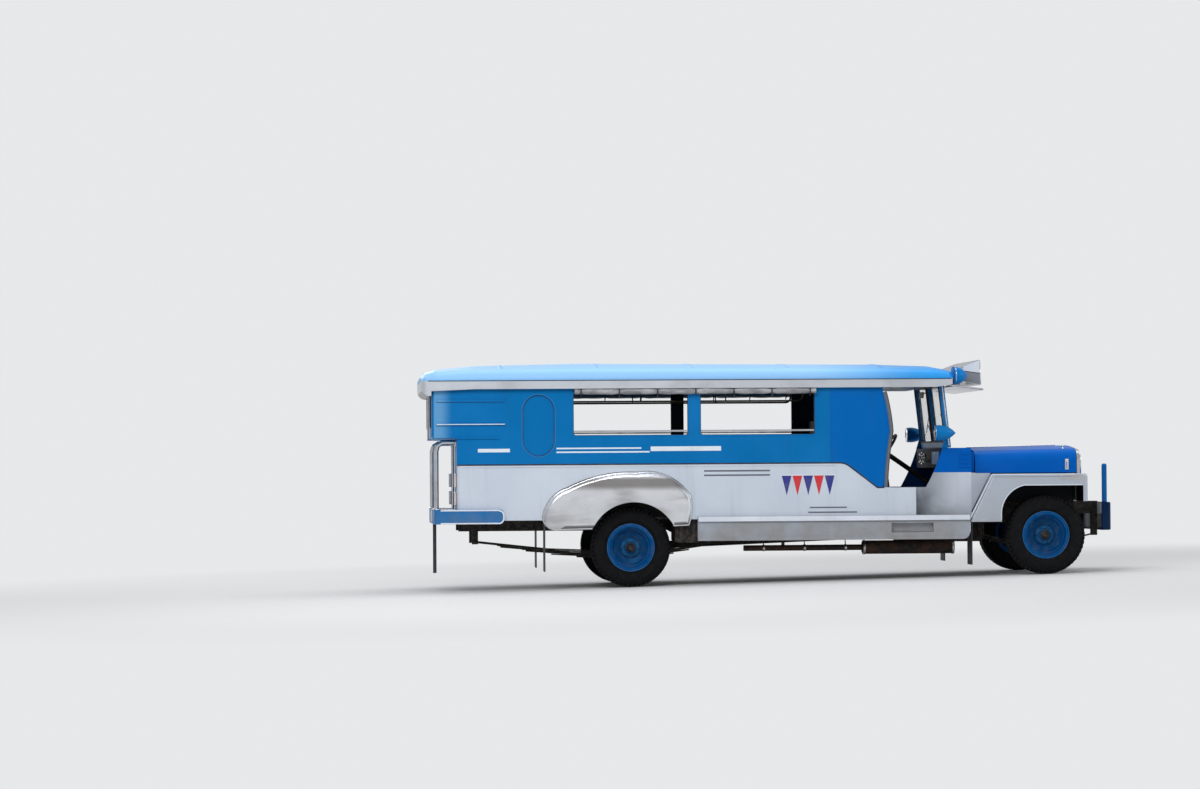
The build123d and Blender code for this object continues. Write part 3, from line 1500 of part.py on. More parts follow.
# Stainless rails: the rear handrails, the ceiling rails on their drops, and the
# bars across the foot of the windows
tube_radius = 24
handrail_y = -750
handrail_top = 1400
handrail_x = -1862
ceiling_rail_y = -480
ceiling_rail_z = 1950
ceiling_rail_radius = 16
drop_radius = 9
bar_height = 16
bar_z = 1497
with BuildPart() as rails:
    with BuildLine() as rail_path:
        Polyline(
            (lower_rear, handrail_y, handrail_top), (handrail_x + 62, handrail_y, handrail_top),
            (handrail_x + 15, handrail_y, handrail_top - 30), (handrail_x, handrail_y, handrail_top - 84),
            (handrail_x, handrail_y, step_high),
        )
    with BuildSketch(Plane(origin=(lower_rear, handrail_y, handrail_top), z_dir=(-1, 0, 0))):
        Circle(tube_radius)
    sweep(path=rail_path.line, transition=Transition.ROUND)
    with BuildSketch(section(lower_rear + 168)):
        with Locations((ceiling_rail_y, ceiling_rail_z)):
            Circle(ceiling_rail_radius)
    extrude(amount=3300)
    for drop_x in (-1400, -300, 800, 1700):
        crown, shoulder, edge_half = roof_at(drop_x)
        ceiling_half = edge_half - roof_skin - shoulder_in
        sag = crown - shoulder
        bow_radius = (ceiling_half ** 2 + sag ** 2) / (2 * sag)
        ceiling_z = crown - roof_skin - bow_radius + math.sqrt(bow_radius ** 2 - (ceiling_rail_y - drop_radius) ** 2)
        with BuildSketch(Plane.XY.offset(ceiling_rail_z)):
            with Locations((drop_x, ceiling_rail_y)):
                Circle(drop_radius)
        extrude(amount=ceiling_z - ceiling_rail_z - seat_gap)
    for window_x in windows:
        with Locations((window_x + window_length / 2, -(side_half - wall / 2), bar_z)):
            Box(window_length, bar_height, bar_height)
    mirror(about=Plane.XZ)
keep(rails, "rails")

# Rolled curtains hung above the windows
curtain_radius = 31
curtain_overhang = 12
with BuildPart() as rolled_curtains:
    with BuildSketch(section(windows[0] + curtain_overhang)):
        with Locations((-side_half - curtain_radius - seat_gap, gutter_bottom - curtain_radius - seat_gap)):
            Circle(curtain_radius)
    extrude(amount=windows[1] + window_length - windows[0])
    mirror(about=Plane.XZ)
keep(rolled_curtains, "rolled_curtains")

# Blank header board over the windscreen, and the thin visor blade below it
header_half = 700
header_nose = 299
header_top = 2173
header_low = 1925
blade_half = 860
blade_thick = 12
with BuildPart() as roof_header:
    with BuildSketch(side_plane(header_half)):
        with BuildLine():
            board_x = roof_front + header_nose
            Polyline(
                (roof_front, roof_edge + 5), (board_x, header_low), (board_x - 8, header_top),
                (roof_front + 128, header_top - 62), (roof_front, roof_edge + 67),
                close=True,
            )
        make_face()
    extrude(amount=-2 * header_half)
    with BuildSketch(side_plane(blade_half)):
        with BuildLine():
            Polyline(
                (roof_front, gutter_bottom + 5), (board_x, gutter_bottom - 33), (board_x, gutter_bottom - 33 + blade_thick),
                (roof_front, gutter_bottom + 5 + blade_thick),
                close=True,
            )
        make_face()
    extrude(amount=-2 * blade_half)
    # Struts between the blade and the board
    for strut_y in (-header_half + 10, 0, header_half - 10):
        with Locations((roof_front + 124, strut_y, gutter_bottom + 30)):
            Box(60, 20, 80)
keep(roof_header, "roof_header")

# Bullet-shaped pods on the roof's front corners
pod_y = 830
pod_z = 2015
pod_radius = 85
pod_long = 148
with BuildPart() as roof_pods:
    with BuildSketch(side_plane(pod_y)):
        with BuildLine():
            tip = (roof_front + pod_long, pod_z)
            belly = (roof_front + 40, pod_z + pod_radius)
            ThreePointArc(tip, (roof_front + pod_long * 0.7, pod_z + pod_radius * 0.67), belly)
            Polyline(belly, (roof_front, pod_z + pod_radius), (roof_front, pod_z), tip)
        make_face()
    revolve(axis=Axis((roof_front, -pod_y, pod_z), (1, 0, 0)))
    mirror(about=Plane.XZ)
keep(roof_pods, "roof_pods")

# Side mirrors: pointed oval pods on short arms from the windscreen's posts
mirror_z = 1461
mirror_long = 200
mirror_radius = 72
mirror_out = 99
mirror_rear = pillar_x - 85
with BuildPart() as side_mirrors:
    pod_plane = Plane(origin=(mirror_rear, -screen_half - mirror_out, mirror_z), x_dir=(1, 0, 0), z_dir=(0, -1, 0))
    with BuildSketch(pod_plane):
        with BuildLine():
            ThreePointArc(
                (mirror_long, 0), (mirror_long * 0.6, mirror_radius * 0.82), (0, mirror_radius),
            )
            Polyline((0, mirror_radius), (0, 0), (mirror_long, 0))
        make_face()
    revolve(axis=Axis((mirror_rear, -screen_half - mirror_out, mirror_z), (1, 0, 0)))
    arm_long = mirror_out - mirror_radius * 0.6
    with Locations((screen_foot_x + 14, -screen_half - arm_long / 2, mirror_z)):
        Box(24, arm_long, 24)
    mirror(about=Plane.XZ)
keep(side_mirrors, "side_mirrors")

# Tail lamps, two on each rear corner panel
lamp_block = (22, 100, 130)
lamp_round = 18
lamp_middles = (1034, 860)
tail_lamp_y = 800
with BuildPart() as tail_lamps:
    for lamp_mid in lamp_middles:
        with Locations((lower_rear - lamp_block[0] / 2, -tail_lamp_y, lamp_mid)):
            Box(*lamp_block)
    fillet(tail_lamps.edges().filter_by(Axis.X), radius=lamp_round)
    mirror(about=Plane.XZ)
keep(tail_lamps, "tail_lamps")

# Mud flaps behind all wheels, and the strap under the step
flap_thick = 8
flap_wide = 250
flap_in = 5
strap_low = 143
strap_place = (16, -500)
# Columns: x, top, bottom, middle y
flap_rows = (
    (-830, floor_under, 155, side_half - flap_in - flap_wide / 2),
    (front_axle_x - 742, fender_foot, 190, fender_half - flap_in - flap_wide / 2),
)
strap = (34, 6)
with BuildPart() as mud_flaps:
    for flap_x, flap_top, flap_low, flap_y in flap_rows:
        with Locations((flap_x, -flap_y, (flap_top + flap_low) / 2)):
            Box(flap_thick, flap_wide, flap_top - flap_low)
    mirror(about=Plane.XZ)
    with Locations((step_rear + strap_place[0], strap_place[1], (step_low + strap_low) / 2)):
        Box(*strap, step_low - strap_low)
keep(mud_flaps, "mud_flaps")
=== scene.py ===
import json
import math

import bmesh
import bpy
from mathutils import Matrix, Vector


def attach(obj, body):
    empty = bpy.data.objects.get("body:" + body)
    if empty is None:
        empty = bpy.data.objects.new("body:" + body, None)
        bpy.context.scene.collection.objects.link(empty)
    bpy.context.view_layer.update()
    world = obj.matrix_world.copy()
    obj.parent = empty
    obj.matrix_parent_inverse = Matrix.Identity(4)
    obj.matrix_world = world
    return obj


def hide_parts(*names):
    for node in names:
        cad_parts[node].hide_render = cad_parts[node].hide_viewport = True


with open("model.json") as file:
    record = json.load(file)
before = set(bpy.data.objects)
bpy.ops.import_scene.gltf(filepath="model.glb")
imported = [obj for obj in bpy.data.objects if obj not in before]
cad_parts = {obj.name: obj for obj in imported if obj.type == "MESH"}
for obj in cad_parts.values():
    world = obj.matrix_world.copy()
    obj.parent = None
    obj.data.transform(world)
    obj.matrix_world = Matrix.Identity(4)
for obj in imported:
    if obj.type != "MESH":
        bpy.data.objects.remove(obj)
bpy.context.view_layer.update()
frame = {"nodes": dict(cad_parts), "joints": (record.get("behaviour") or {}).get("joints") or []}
nodes = frame["nodes"]

# The body stands level in its own frame, in millimetres, with x = 0 at the rear
# axle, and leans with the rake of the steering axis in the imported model.
MM = 0.001
joint_at = {joint["name"]: Vector(joint["pos_m"]) for joint in frame["joints"]}
joint_axis = {joint["name"]: Vector(joint["axis"]) for joint in frame["joints"]}
rear_axle = Vector((joint_at["rear_right_spin"].x, 0, joint_at["rear_right_spin"].z))
up = joint_axis["steer_left"].normalized()
LEAN = (
    Matrix.Translation(rear_axle)
    @ Matrix.Rotation(math.atan2(up.x, up.z), 4, "Y")
    @ Matrix.Translation((0, 0, -rear_axle.z))
    @ Matrix.Scale(MM, 4)
)
LEVEL = LEAN.inverted()
SIDES = (("right", -1), ("left", 1))
FORWARD, BACK, UP, DOWN = (1, 0, 0), (-1, 0, 0), (0, 0, 1), (0, 0, -1)

# Sizes of the body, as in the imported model
tyre_radius = rear_axle.z / MM
front_axle_x, _, front_axle_z = LEVEL @ joint_at["front_right_spin"]
side_half, cowl_half, gutter_half, fender_half = 905, 800, 950, 930
side_inner = side_half - 40
side_bottom, floor_top, doorsill, belt = 648, 668, 940, 1180
cowl_top, overhang, sill, window_top, gutter_low = 1318, 1430, 1455, 1897, 1905
windows, window_length = (-552, 671), 1106
lower_rear, upper_rear = -1668, -1908
cowl_front = front_axle_x - 722
door_edge = cowl_front - 850
slant_foot, slant_top, slant_round = cowl_front - 931, cowl_front - 1244, 160
pillar_x = cowl_front - 280
firewall_x = cowl_front - 30
partition_x = cowl_front - 1360
roof_front = cowl_front - 184
board_x = roof_front + 299
hood_front = front_axle_x + 345
grille_rear = hood_front + 10
bumper_rear = front_axle_x + 592
bumper_front = bumper_rear + 88
screen_lean = math.radians(6.2)
steer_tilt = math.radians(35)
bench_rear, bench_front, bench_y = lower_rear + 60, 1880, 560
entrance_half = 340
step_half, step_rear, step_top = 950, -1826, 747
pod_y, pod_z, mirror_y, mirror_z = 830, 2015, 895, 1461
lamp_y, lamp_z, park_y, park_z = 455, 1176, 760, 1000
tail_lamp_y, handrail_y, ceiling_rail_y, ceiling_rail_z = 800, 750, 480, 1788
spring_y, pipe_y, pipe_z, pipe_radius, muffler_radius = 370, -560, 360, 27, 65
roof_line_z = 1984


def placed(name, data):
    # A new object in the scene.
    piece = bpy.data.objects.new(name, data)
    bpy.context.scene.collection.objects.link(piece)
    return piece


# Camera where the photographer stood: a long lens, far to the right of the vehicle
camera_at = Vector((-2.7654 + rear_axle.x, -35.86, 1.17))
yaw, pitch, roll = (math.radians(angle) for angle in (4.1, 1.12, -1.68))
focal_pixels, image_width, sensor_width = 3660, 1200, 36
aim = Vector((math.sin(yaw) * math.cos(pitch), math.cos(yaw) * math.cos(pitch), math.sin(pitch)))
level_right = Vector((math.cos(yaw), -math.sin(yaw), 0))
level_up = level_right.cross(aim)
right = math.cos(roll) * level_right + math.sin(roll) * level_up
upward = -math.sin(roll) * level_right + math.cos(roll) * level_up
camera = placed("camera", bpy.data.cameras.new("camera"))
camera.data.sensor_width = sensor_width
camera.data.lens = focal_pixels / image_width * sensor_width
camera.data.clip_end = 200
camera.matrix_world = Matrix.Translation(camera_at) @ Matrix((right, upward, -aim)).transposed().to_4x4()
bpy.context.scene.camera = camera
bpy.context.scene.view_settings.view_transform = "Standard"


# Colours
def srgb(red, green, blue):
    # A colour given as it looks, as the linear values that shaders take.
    def linear(value):
        share = value / 255
        return share / 12.92 if share <= 0.04045 else ((share + 0.055) / 1.055) ** 2.4
    return linear(red), linear(green), linear(blue), 1


def paler(color, gain, lift):
    return tuple(min(1, value * gain + lift) for value in color[:3]) + (1,)


SIDE_BLUE = srgb(8, 106, 170)
PANEL_BLUE = srgb(2, 96, 174)
HOOD_BLUE = srgb(0, 88, 178)
ROOF_BLUE = srgb(44, 142, 214)
ROOF_REFLECTION = srgb(150, 194, 234)
GLOSS_BLUE = srgb(90, 190, 255)
CORNER_REFLECTION = srgb(150, 204, 236)
BUMPER_SHADE = srgb(0, 22, 58)
BUMPER_POST = srgb(16, 84, 150)
SILVER = srgb(196, 202, 212)
SILVER_COOL = srgb(176, 188, 204)
STEEL = srgb(200, 202, 206)
STEEL_TINT = srgb(150, 142, 134)
STEEL_SHADE = srgb(120, 112, 108)
STREET = srgb(142, 138, 138)
WHEEL_BLUE = srgb(2, 68, 124)
WHEEL_SHADE = srgb(0, 18, 44)
WHEEL_HIGHLIGHT = srgb(40, 124, 178)
WHEEL_CHIP = srgb(70, 42, 30)
RUBBER = srgb(13, 14, 17)
RUBBER_DUST = srgb(92, 86, 78)
CHASSIS = srgb(16, 16, 18)
RUST = srgb(112, 62, 34)
DUST = srgb(128, 116, 100)
GRIME_AND_SHADE = srgb(52, 46, 42)
DIRT = srgb(58, 52, 46)
INNER_SHADE = srgb(16, 18, 24)
FLOOR_PLATE = srgb(104, 104, 106)
CURTAIN = srgb(118, 118, 122)
CURTAIN_PALE = srgb(168, 168, 172)
BACKDROP = (0.80, 0.81, 0.82, 1)
STUDIO_FLOOR = (0.62, 0.62, 0.62, 1)
SKY = (0.94, 0.97, 1, 1)


# Shader building blocks
class Shader:
    """One material under construction: its tree, its surface shader and short calls for nodes."""

    def __init__(self, name, color, rough, metal=0.0, coat=0.0, specular=0.5, tint=None):
        self.material = bpy.data.materials.new(name)
        self.material.use_nodes = True
        self.tree = self.material.node_tree
        self.surface = self.tree.nodes["Principled BSDF"]
        self.color, self.rough, self.normal = color, rough, None
        own = {"Metallic": metal, "Coat Weight": coat, "Coat Roughness": 0.08, "Specular IOR Level": specular}
        if tint:
            own["Specular Tint"] = tint
        self.feed(self.surface, own)
        self.place = self.add("ShaderNodeTexCoord").outputs["Object"]

    def feed(self, node, inputs):
        # A socket or a plain value into each input.
        for index, value in inputs.items():
            if isinstance(value, bpy.types.NodeSocket):
                self.tree.links.new(value, node.inputs[index])
            else:
                node.inputs[index].default_value = value

    def add(self, kind, inputs=None, **settings):
        node = self.tree.nodes.new(kind)
        for key, value in settings.items():
            setattr(node, key, value)
        self.feed(node, inputs or {})
        return node

    def math(self, operation, first, second=0.0):
        return self.add("ShaderNodeMath", {0: first, 1: second}, operation=operation).outputs[0]

    def times(self, first, second):
        return self.math("MULTIPLY", first, second)

    def inverse(self, value):
        return self.math("SUBTRACT", 1.0, value)

    def vector(self, operation, first, second=(0, 0, 0), output=0):
        return self.add("ShaderNodeVectorMath", {0: first, 1: second}, operation=operation).outputs[output]

    def ramp(self, value, low, high):
        # 0 below low, 1 above high, smooth between.
        inputs = {0: value, 1: low, 2: high}
        return self.add("ShaderNodeMapRange", inputs, interpolation_type="SMOOTHSTEP").outputs[0]

    def noise(self, scale, detail=4.0, rough=0.55, stretch=(1, 1, 1)):
        mapping = self.add("ShaderNodeMapping", {0: self.place, "Scale": stretch})
        inputs = {"Vector": mapping.outputs[0], "Scale": scale, "Detail": detail, "Roughness": rough}
        return self.add("ShaderNodeTexNoise", inputs).outputs[0]

    def spots(self, low, high, *noise):
        # The noise's high places: 0 where it is below low, 1 where it is above high.
        return self.ramp(self.noise(*noise), low, high)

    def height(self):
        # Height above the ground in the level body, in metres.
        shift = rear_axle.z - up.dot(rear_axle)
        return self.math("ADD", self.vector("DOT_PRODUCT", self.place, up, "Value"), shift)

    def above(self, low, high):
        return self.ramp(self.height(), low, high)

    def below(self, low, high):
        return self.inverse(self.above(low, high))

    def behind(self, low, high):
        # 1 behind low, 0 ahead of high, in metres ahead of the rear axle in the level body.
        ahead = Vector((up.z, 0, -up.x))
        along = self.vector("DOT_PRODUCT", self.place, ahead, "Value")
        return self.inverse(self.ramp(self.math("SUBTRACT", along, ahead.dot(rear_axle)), low, high))

    def from_axle(self):
        # Distance from the nearer wheel axis, in metres.
        lengths = []
        for end in ("rear", "front"):
            shift = self.vector("SUBTRACT", self.place, joint_at[f"{end}_right_spin"])
            lengths.append(self.vector("LENGTH", self.vector("MULTIPLY", shift, (1, 0, 1)), output="Value"))
        return self.math("MINIMUM", *lengths)

    def outward(self):
        # Distance from the middle plane, in metres.
        return self.math("ABSOLUTE", self.add("ShaderNodeSeparateXYZ", {0: self.place}).outputs[1])

    def inside(self, half):
        # 1 where the surface lies nearer the middle than half, in metres.
        return self.inverse(self.ramp(self.outward(), half - 0.001, half + 0.001))

    def facing(self, way):
        # How far the surface faces along a direction, from 0 to 1.
        normal = self.add("ShaderNodeNewGeometry").outputs["Normal"]
        return self.ramp(self.vector("DOT_PRODUCT", normal, way, "Value"), 0.2, 0.5)

    def blend(self, share, color, amount=1.0):
        # Lays another colour over what is there, as far as share times amount says.
        share = share if amount == 1 else self.times(share, amount)
        node = self.add("ShaderNodeMix", {0: share, 6: self.color, 7: color}, data_type="RGBA")
        self.color = node.outputs[2]
        return self

    def roughen(self, share, rough, amount=1.0):
        # Roughness moves towards rough as far as share times amount says.
        share = share if amount == 1 else self.times(share, amount)
        node = self.add("ShaderNodeMix", {0: share, 2: self.rough, 3: rough}, data_type="FLOAT")
        self.rough = node.outputs[0]
        return self

    def bump(self, value, strength, distance):
        node = self.add("ShaderNodeBump", {"Strength": strength, "Distance": distance, "Height": value})
        if self.normal:
            self.feed(node, {"Normal": self.normal})
        self.normal = node.outputs[0]
        return self

    def done(self):
        self.feed(self.surface, {"Base Color": self.color, "Roughness": self.rough})
        if self.normal:
            self.feed(self.surface, {"Normal": self.normal})
        return self.material


def weathered(shader, dust_low=0.45, dust_high=1.0, amount=0.5, streaks=0.25, dents=0.35):
    # Road dust low down, streaks that run down, faint clouding and shallow dents.
    speckle = shader.times(shader.spots(0.2, 0.75, 6, 5, 0.6), amount)
    dusty = shader.times(shader.below(dust_low, dust_high), speckle)
    shader.blend(shader.spots(0.52, 0.78, 9, 5, 0.6, (1, 1, 0.08)), GRIME_AND_SHADE, streaks).blend(dusty, DUST)
    shader.roughen(shader.noise(2.2, 5), 0.6, 0.5).roughen(dusty, 0.85)
    shader.bump(shader.noise(3.1, 2, 0.45), dents, 0.012)
    return shader.bump(shader.noise(160, 3), 0.06, 0.001)


def glossy_blue(name, color):
    return Shader(name, color, 0.3, coat=0.03, specular=0.3, tint=GLOSS_BLUE)


def blue_paint(name, color, **wear):
    shader = glossy_blue(name, color)
    shader.blend(shader.spots(0.35, 0.75, 1.1, 3, 0.6), paler(color, 1.35, 0.012), 0.4)
    return weathered(shader, **wear)


def chipped(shader, amount=0.5, color=GRIME_AND_SHADE):
    # Small chips down to dark metal.
    patches = shader.times(shader.spots(0.5, 0.7, 4, 3), amount)
    return shader.blend(shader.times(shader.spots(0.66, 0.7, 55, 7, 0.75), patches), color)


def painted_inner_shade(shader, share):
    # Painted shade: a dark colour laid on the inner faces and on faces turned from the light.
    return shader.blend(share, INNER_SHADE).roughen(share, 0.7)


def side_blue(name="side_blue", inside=0.0, facing=None):
    # Painted reflection: the rounded tail corner is painted paler, as if it gave back the sky.
    shader = chipped(blue_paint(name, SIDE_BLUE, streaks=0.12, dents=0.5))
    corner = shader.times(shader.behind(-1.84, -1.7), shader.above(1.1, 1.2))
    shader.blend(shader.times(corner, shader.inverse(shader.facing(BACK))), CORNER_REFLECTION, 0.38)
    # Painted shade on the inner faces, and on the faces that look one way.
    if inside:
        painted_inner_shade(shader, shader.inside(inside))
    if facing:
        painted_inner_shade(shader, shader.facing(facing))
    return shader.done()


def roof_blue():
    # Paler towards the tail, a painted reflection of the sky, and deeper near its foot, painted shade where
    # it turns down; its underside is painted dark as shade.
    shader = blue_paint("roof_blue", ROOF_BLUE, streaks=0.05, dents=0.3)
    shader.blend(shader.behind(1.6, 3.0), ROOF_REFLECTION, 0.9)
    shader.blend(shader.below(1.97, 2.02), SIDE_BLUE, 0.3)
    return painted_inner_shade(shader, shader.facing(DOWN)).done()


def bumper():
    # Painted shade: near black below the bumper's top, with the posts in their own brighter blue above it.
    shader = chipped(blue_paint("bumper_blue", BUMPER_SHADE, amount=0.03, streaks=0.05, dents=0.2), 0.4)
    return shader.blend(shader.above(0.784, 0.79), BUMPER_POST).done()


def silver(name="body_silver", color=SILVER, dust=0.34, inside=0.0, arch=0.0):
    shader = Shader(name, color, 0.36, metal=0.2, specular=0.35)
    shader.blend(shader.spots(0.35, 0.7, 1.7, 3), SILVER_COOL, 0.3)
    chipped(weathered(shader, 0.42, 0.95, dust, 0.1, 0.4), 0.3)
    # Painted shade on the inner faces, save those that face forward.
    if inside:
        painted_inner_shade(shader, shader.times(shader.inside(inside), shader.inverse(shader.facing(FORWARD))))
    if arch:
        # Painted shade on the arch: its faces that face down or in are painted dark.
        painted_inner_shade(shader, shader.facing(DOWN))
        outward = shader.math("MAXIMUM", shader.facing(UP), shader.facing(FORWARD))
        painted_inner_shade(shader, shader.times(shader.inside(arch), shader.inverse(outward)))
    return shader.done()


def cowl():
    # Blue above the fender line, silver below it.
    shader = glossy_blue("cowl_paint", HOOD_BLUE)
    outer = cowl_half * MM
    outside = shader.ramp(shader.outward(), outer - 0.002, outer - 0.001)
    below = shader.times(shader.below(1.079, 1.083), outside)
    shader.blend(below, SILVER)
    weathered(shader, 0.5, 1.0, 0.45, 0.12, 0.3)
    # The silver part is darker towards the doorway, in patches.
    toward_doorway = shader.times(shader.behind(2.72, 3.25), below)
    shader.blend(shader.times(toward_doorway, shader.spots(-0.2, 0.8, 3, 3)), GRIME_AND_SHADE, 0.95)
    # Painted shade on the faces that look back.
    return painted_inner_shade(shader, shader.facing(BACK)).done()


def steel(
    name="stainless", color=STEEL, rough=0.2, dents=0.6, dent_scale=4.5, shade=None, under=0.0, dust=0.45,
):
    shader = Shader(name, color, rough, metal=1.0)
    shader.roughen(shader.noise(7, 3, 0.5, (0.4, 1, 1)), 0.4, 0.5)
    shader.blend(shader.spots(0.45, 0.75, 3), STEEL_TINT, 0.25)
    speckle = shader.times(shader.spots(0.3, 0.8, 9, 6, 0.7), dust)
    dusty = shader.times(shader.below(0.4, 0.9), speckle)
    shader.blend(dusty, DUST).roughen(dusty, 0.8)
    # Painted shade: faces that face down are darkened.
    if under:
        shader.blend(shader.facing(DOWN), GRIME_AND_SHADE, under)
    if shade:
        # A shaded stretch between two heights, as a curved panel gives back the street.
        rise, fall, amount = shade
        shader.blend(shader.times(shader.above(*rise), shader.below(*fall)), STEEL_SHADE, amount)
        shader.blend(shader.spots(0.5, 0.72, 3.4, 3, 0.5, (0.5, 1, 1.7)), STREET, 0.5)
    return shader.bump(shader.noise(dent_scale, 2, 0.4), dents, 0.02).done()


def dusty_black(name="chassis_black", color=CHASSIS, dust=0.35, rust=0.0):
    shader = Shader(name, color, 0.6, specular=0.25)
    speckle = shader.spots(0.4, 0.75, 26, 6, 0.7)
    shader.blend(speckle, DUST, dust)
    if rust:
        shader.blend(shader.spots(0.42, 0.62, 11, 6, 0.65), RUST, rust)
    return shader.roughen(speckle, 0.88).bump(shader.noise(70, 5), 0.3, 0.002).done()


def rubber():
    shader = Shader("tyre_rubber", RUBBER, 0.75, specular=0.12)
    dust = shader.spots(0.4, 0.8, 18, 6, 0.65)
    shader.blend(dust, RUBBER_DUST, 0.09).roughen(dust, 0.9)
    return shader.bump(shader.noise(120), 0.25, 0.001).done()


def wheel_blue():
    # Painted shade darkens the dish towards the hub, with a painted highlight in a paler ring about it.
    shader = Shader("wheel_blue", WHEEL_BLUE, 0.3, specular=0.4, tint=GLOSS_BLUE)
    away = shader.from_axle()
    for radius, amount, color in (
        (0.168, 0.45, WHEEL_SHADE), (0.122, 0.3, WHEEL_SHADE), (0.088, 0.4, WHEEL_HIGHLIGHT), (0.05, 0.9, GRIME_AND_SHADE),
    ):
        shader.blend(shader.inverse(shader.ramp(away, radius - 0.008, radius + 0.004)), color, amount)
    dust = shader.spots(0.42, 0.8, 15, 6, 0.65)
    chipped(shader.blend(dust, DUST, 0.16), 0.8, WHEEL_CHIP).roughen(dust, 0.75)
    return shader.bump(shader.noise(60), 0.12, 0.001).done()


def clear_glass():
    shader = Shader("clear_glass", srgb(206, 216, 214), 0.04)
    shader.feed(shader.surface, {"Alpha": 0.22, "IOR": 1.5})
    return shader.roughen(shader.spots(0.45, 0.8, 6, 4, 0.6, (1, 1, 0.3)), 0.2).done()


def plastic(name, color, rough=0.45, bump=0.2, scale=140):
    shader = Shader(name, srgb(*color), rough)
    shader.blend(shader.spots(0.4, 0.8, 7), DUST, 0.2)
    return shader.bump(shader.noise(scale), bump, 0.001).done()


def lens(name, color):
    # A ribbed lens with a dusty face.
    shader = Shader(name, srgb(*color), 0.12, coat=0.6)
    wave = shader.add("ShaderNodeTexWave", {0: shader.place, "Scale": 60}, bands_direction="Y")
    shader.bump(wave.outputs[1], 0.5, 0.002)
    return shader.blend(shader.spots(0.4, 0.8, 9), DUST, 0.25).done()


def vinyl(name, color):
    shader = Shader(name, color, 0.42, specular=0.4)
    grain = shader.add("ShaderNodeTexVoronoi", {"Vector": shader.place, "Scale": 240})
    worn = shader.spots(0.45, 0.75, 5, 5)
    shader.blend(worn, paler(color, 2.4, 0.02), 0.35).roughen(worn, 0.65)
    return shader.bump(grain.outputs["Distance"], 0.25, 0.0008).done()


def curtain_plastic():
    shader = Shader("curtain_plastic", CURTAIN, 0.3, specular=0.6)
    crumple = shader.noise(14, 5, 0.6, (0.35, 1, 1))
    shader.blend(shader.ramp(crumple, 0.4, 0.7), CURTAIN_PALE).bump(crumple, 0.8, 0.01)
    return shader.bump(shader.noise(300, 2, 0.5), 0.1, 0.0006).done()


def floor_plate():
    shader = Shader("floor_plate", FLOOR_PLATE, 0.42, metal=0.7)
    dirt = shader.spots(0.35, 0.7, 7, 6)
    shader.blend(dirt, DIRT, 0.6).roughen(dirt, 0.8)
    checker = shader.add("ShaderNodeTexChecker", {"Vector": shader.place, "Scale": 36})
    return shader.bump(checker.outputs["Fac"], 0.35, 0.001).done()


# Where the shade of the rear fenders starts and ends, in metres above the ground, and its amount
FENDER_SHADE = ((0.91, 0.98), (1.03, 1.065), 0.75)
FENDER_SILVER = srgb(174, 180, 190)
materials = {
    "side_blue": side_blue(),
    "lined_blue": side_blue("lined_blue", inside=0.87),
    "tail_blue": side_blue("tail_blue", facing=FORWARD),
    "cab_blue": side_blue("cab_blue"),
    "panel_blue": chipped(blue_paint("panel_blue", PANEL_BLUE, streaks=0.16, dents=1.0)).done(),
    "hood_blue": chipped(blue_paint("hood_blue", HOOD_BLUE, streaks=0.1, dents=0.22), 0.4).done(),
    "pod_blue": blue_paint("pod_blue", srgb(6, 112, 186), streaks=0.05).done(),
    "roof_blue": roof_blue(),
    "bumper_blue": bumper(),
    "cowl": cowl(),
    "silver": silver(),
    "bright_silver": silver("bright_silver", srgb(228, 234, 244), 0.2),
    "rocker": silver("rocker_silver", srgb(152, 157, 164), 0.5),
    "lined_silver": silver("lined_silver", srgb(204, 212, 224), 0.12, inside=0.87),
    "fender_silver": silver("fender_silver", FENDER_SILVER, 0.35, arch=0.918),
    "fender_silver_plain": silver("fender_silver_plain", FENDER_SILVER, 0.35),
    "steel": steel(),
    "mirror": steel("mirror_glass", srgb(230, 232, 236), 0.02, 0.0, 4),
    "gutter": steel("gutter_steel", srgb(216, 220, 228), 0.3, 0.8, 3.0, under=0.85),
    "polished": steel("polished_steel", srgb(232, 234, 238), 0.24, 1.0, 3.0, FENDER_SHADE, 0.6, 0.14),
    "chrome": steel("chrome", srgb(222, 222, 224), 0.06, 0.05, 9),
    "black": dusty_black(),
    "rusty": dusty_black("exhaust_rust", srgb(26, 24, 24), 0.15, 0.25),
    "engine": dusty_black("engine_grime", srgb(44, 43, 44), 0.35, 0.15),
    "rubber": rubber(),
    "wheel": wheel_blue(),
    "glass": clear_glass(),
    "vinyl": vinyl("seat_vinyl", srgb(38, 38, 44)),
    "piping": vinyl("piping_vinyl", srgb(150, 34, 38)),
    "curtain": curtain_plastic(),
    "floor": floor_plate(),
    "clear_lens": lens("clear_lens", (196, 206, 214)),
    "red_lens": lens("red_lens", (176, 18, 20)),
    "amber_lens": lens("amber_lens", (232, 122, 16)),
}
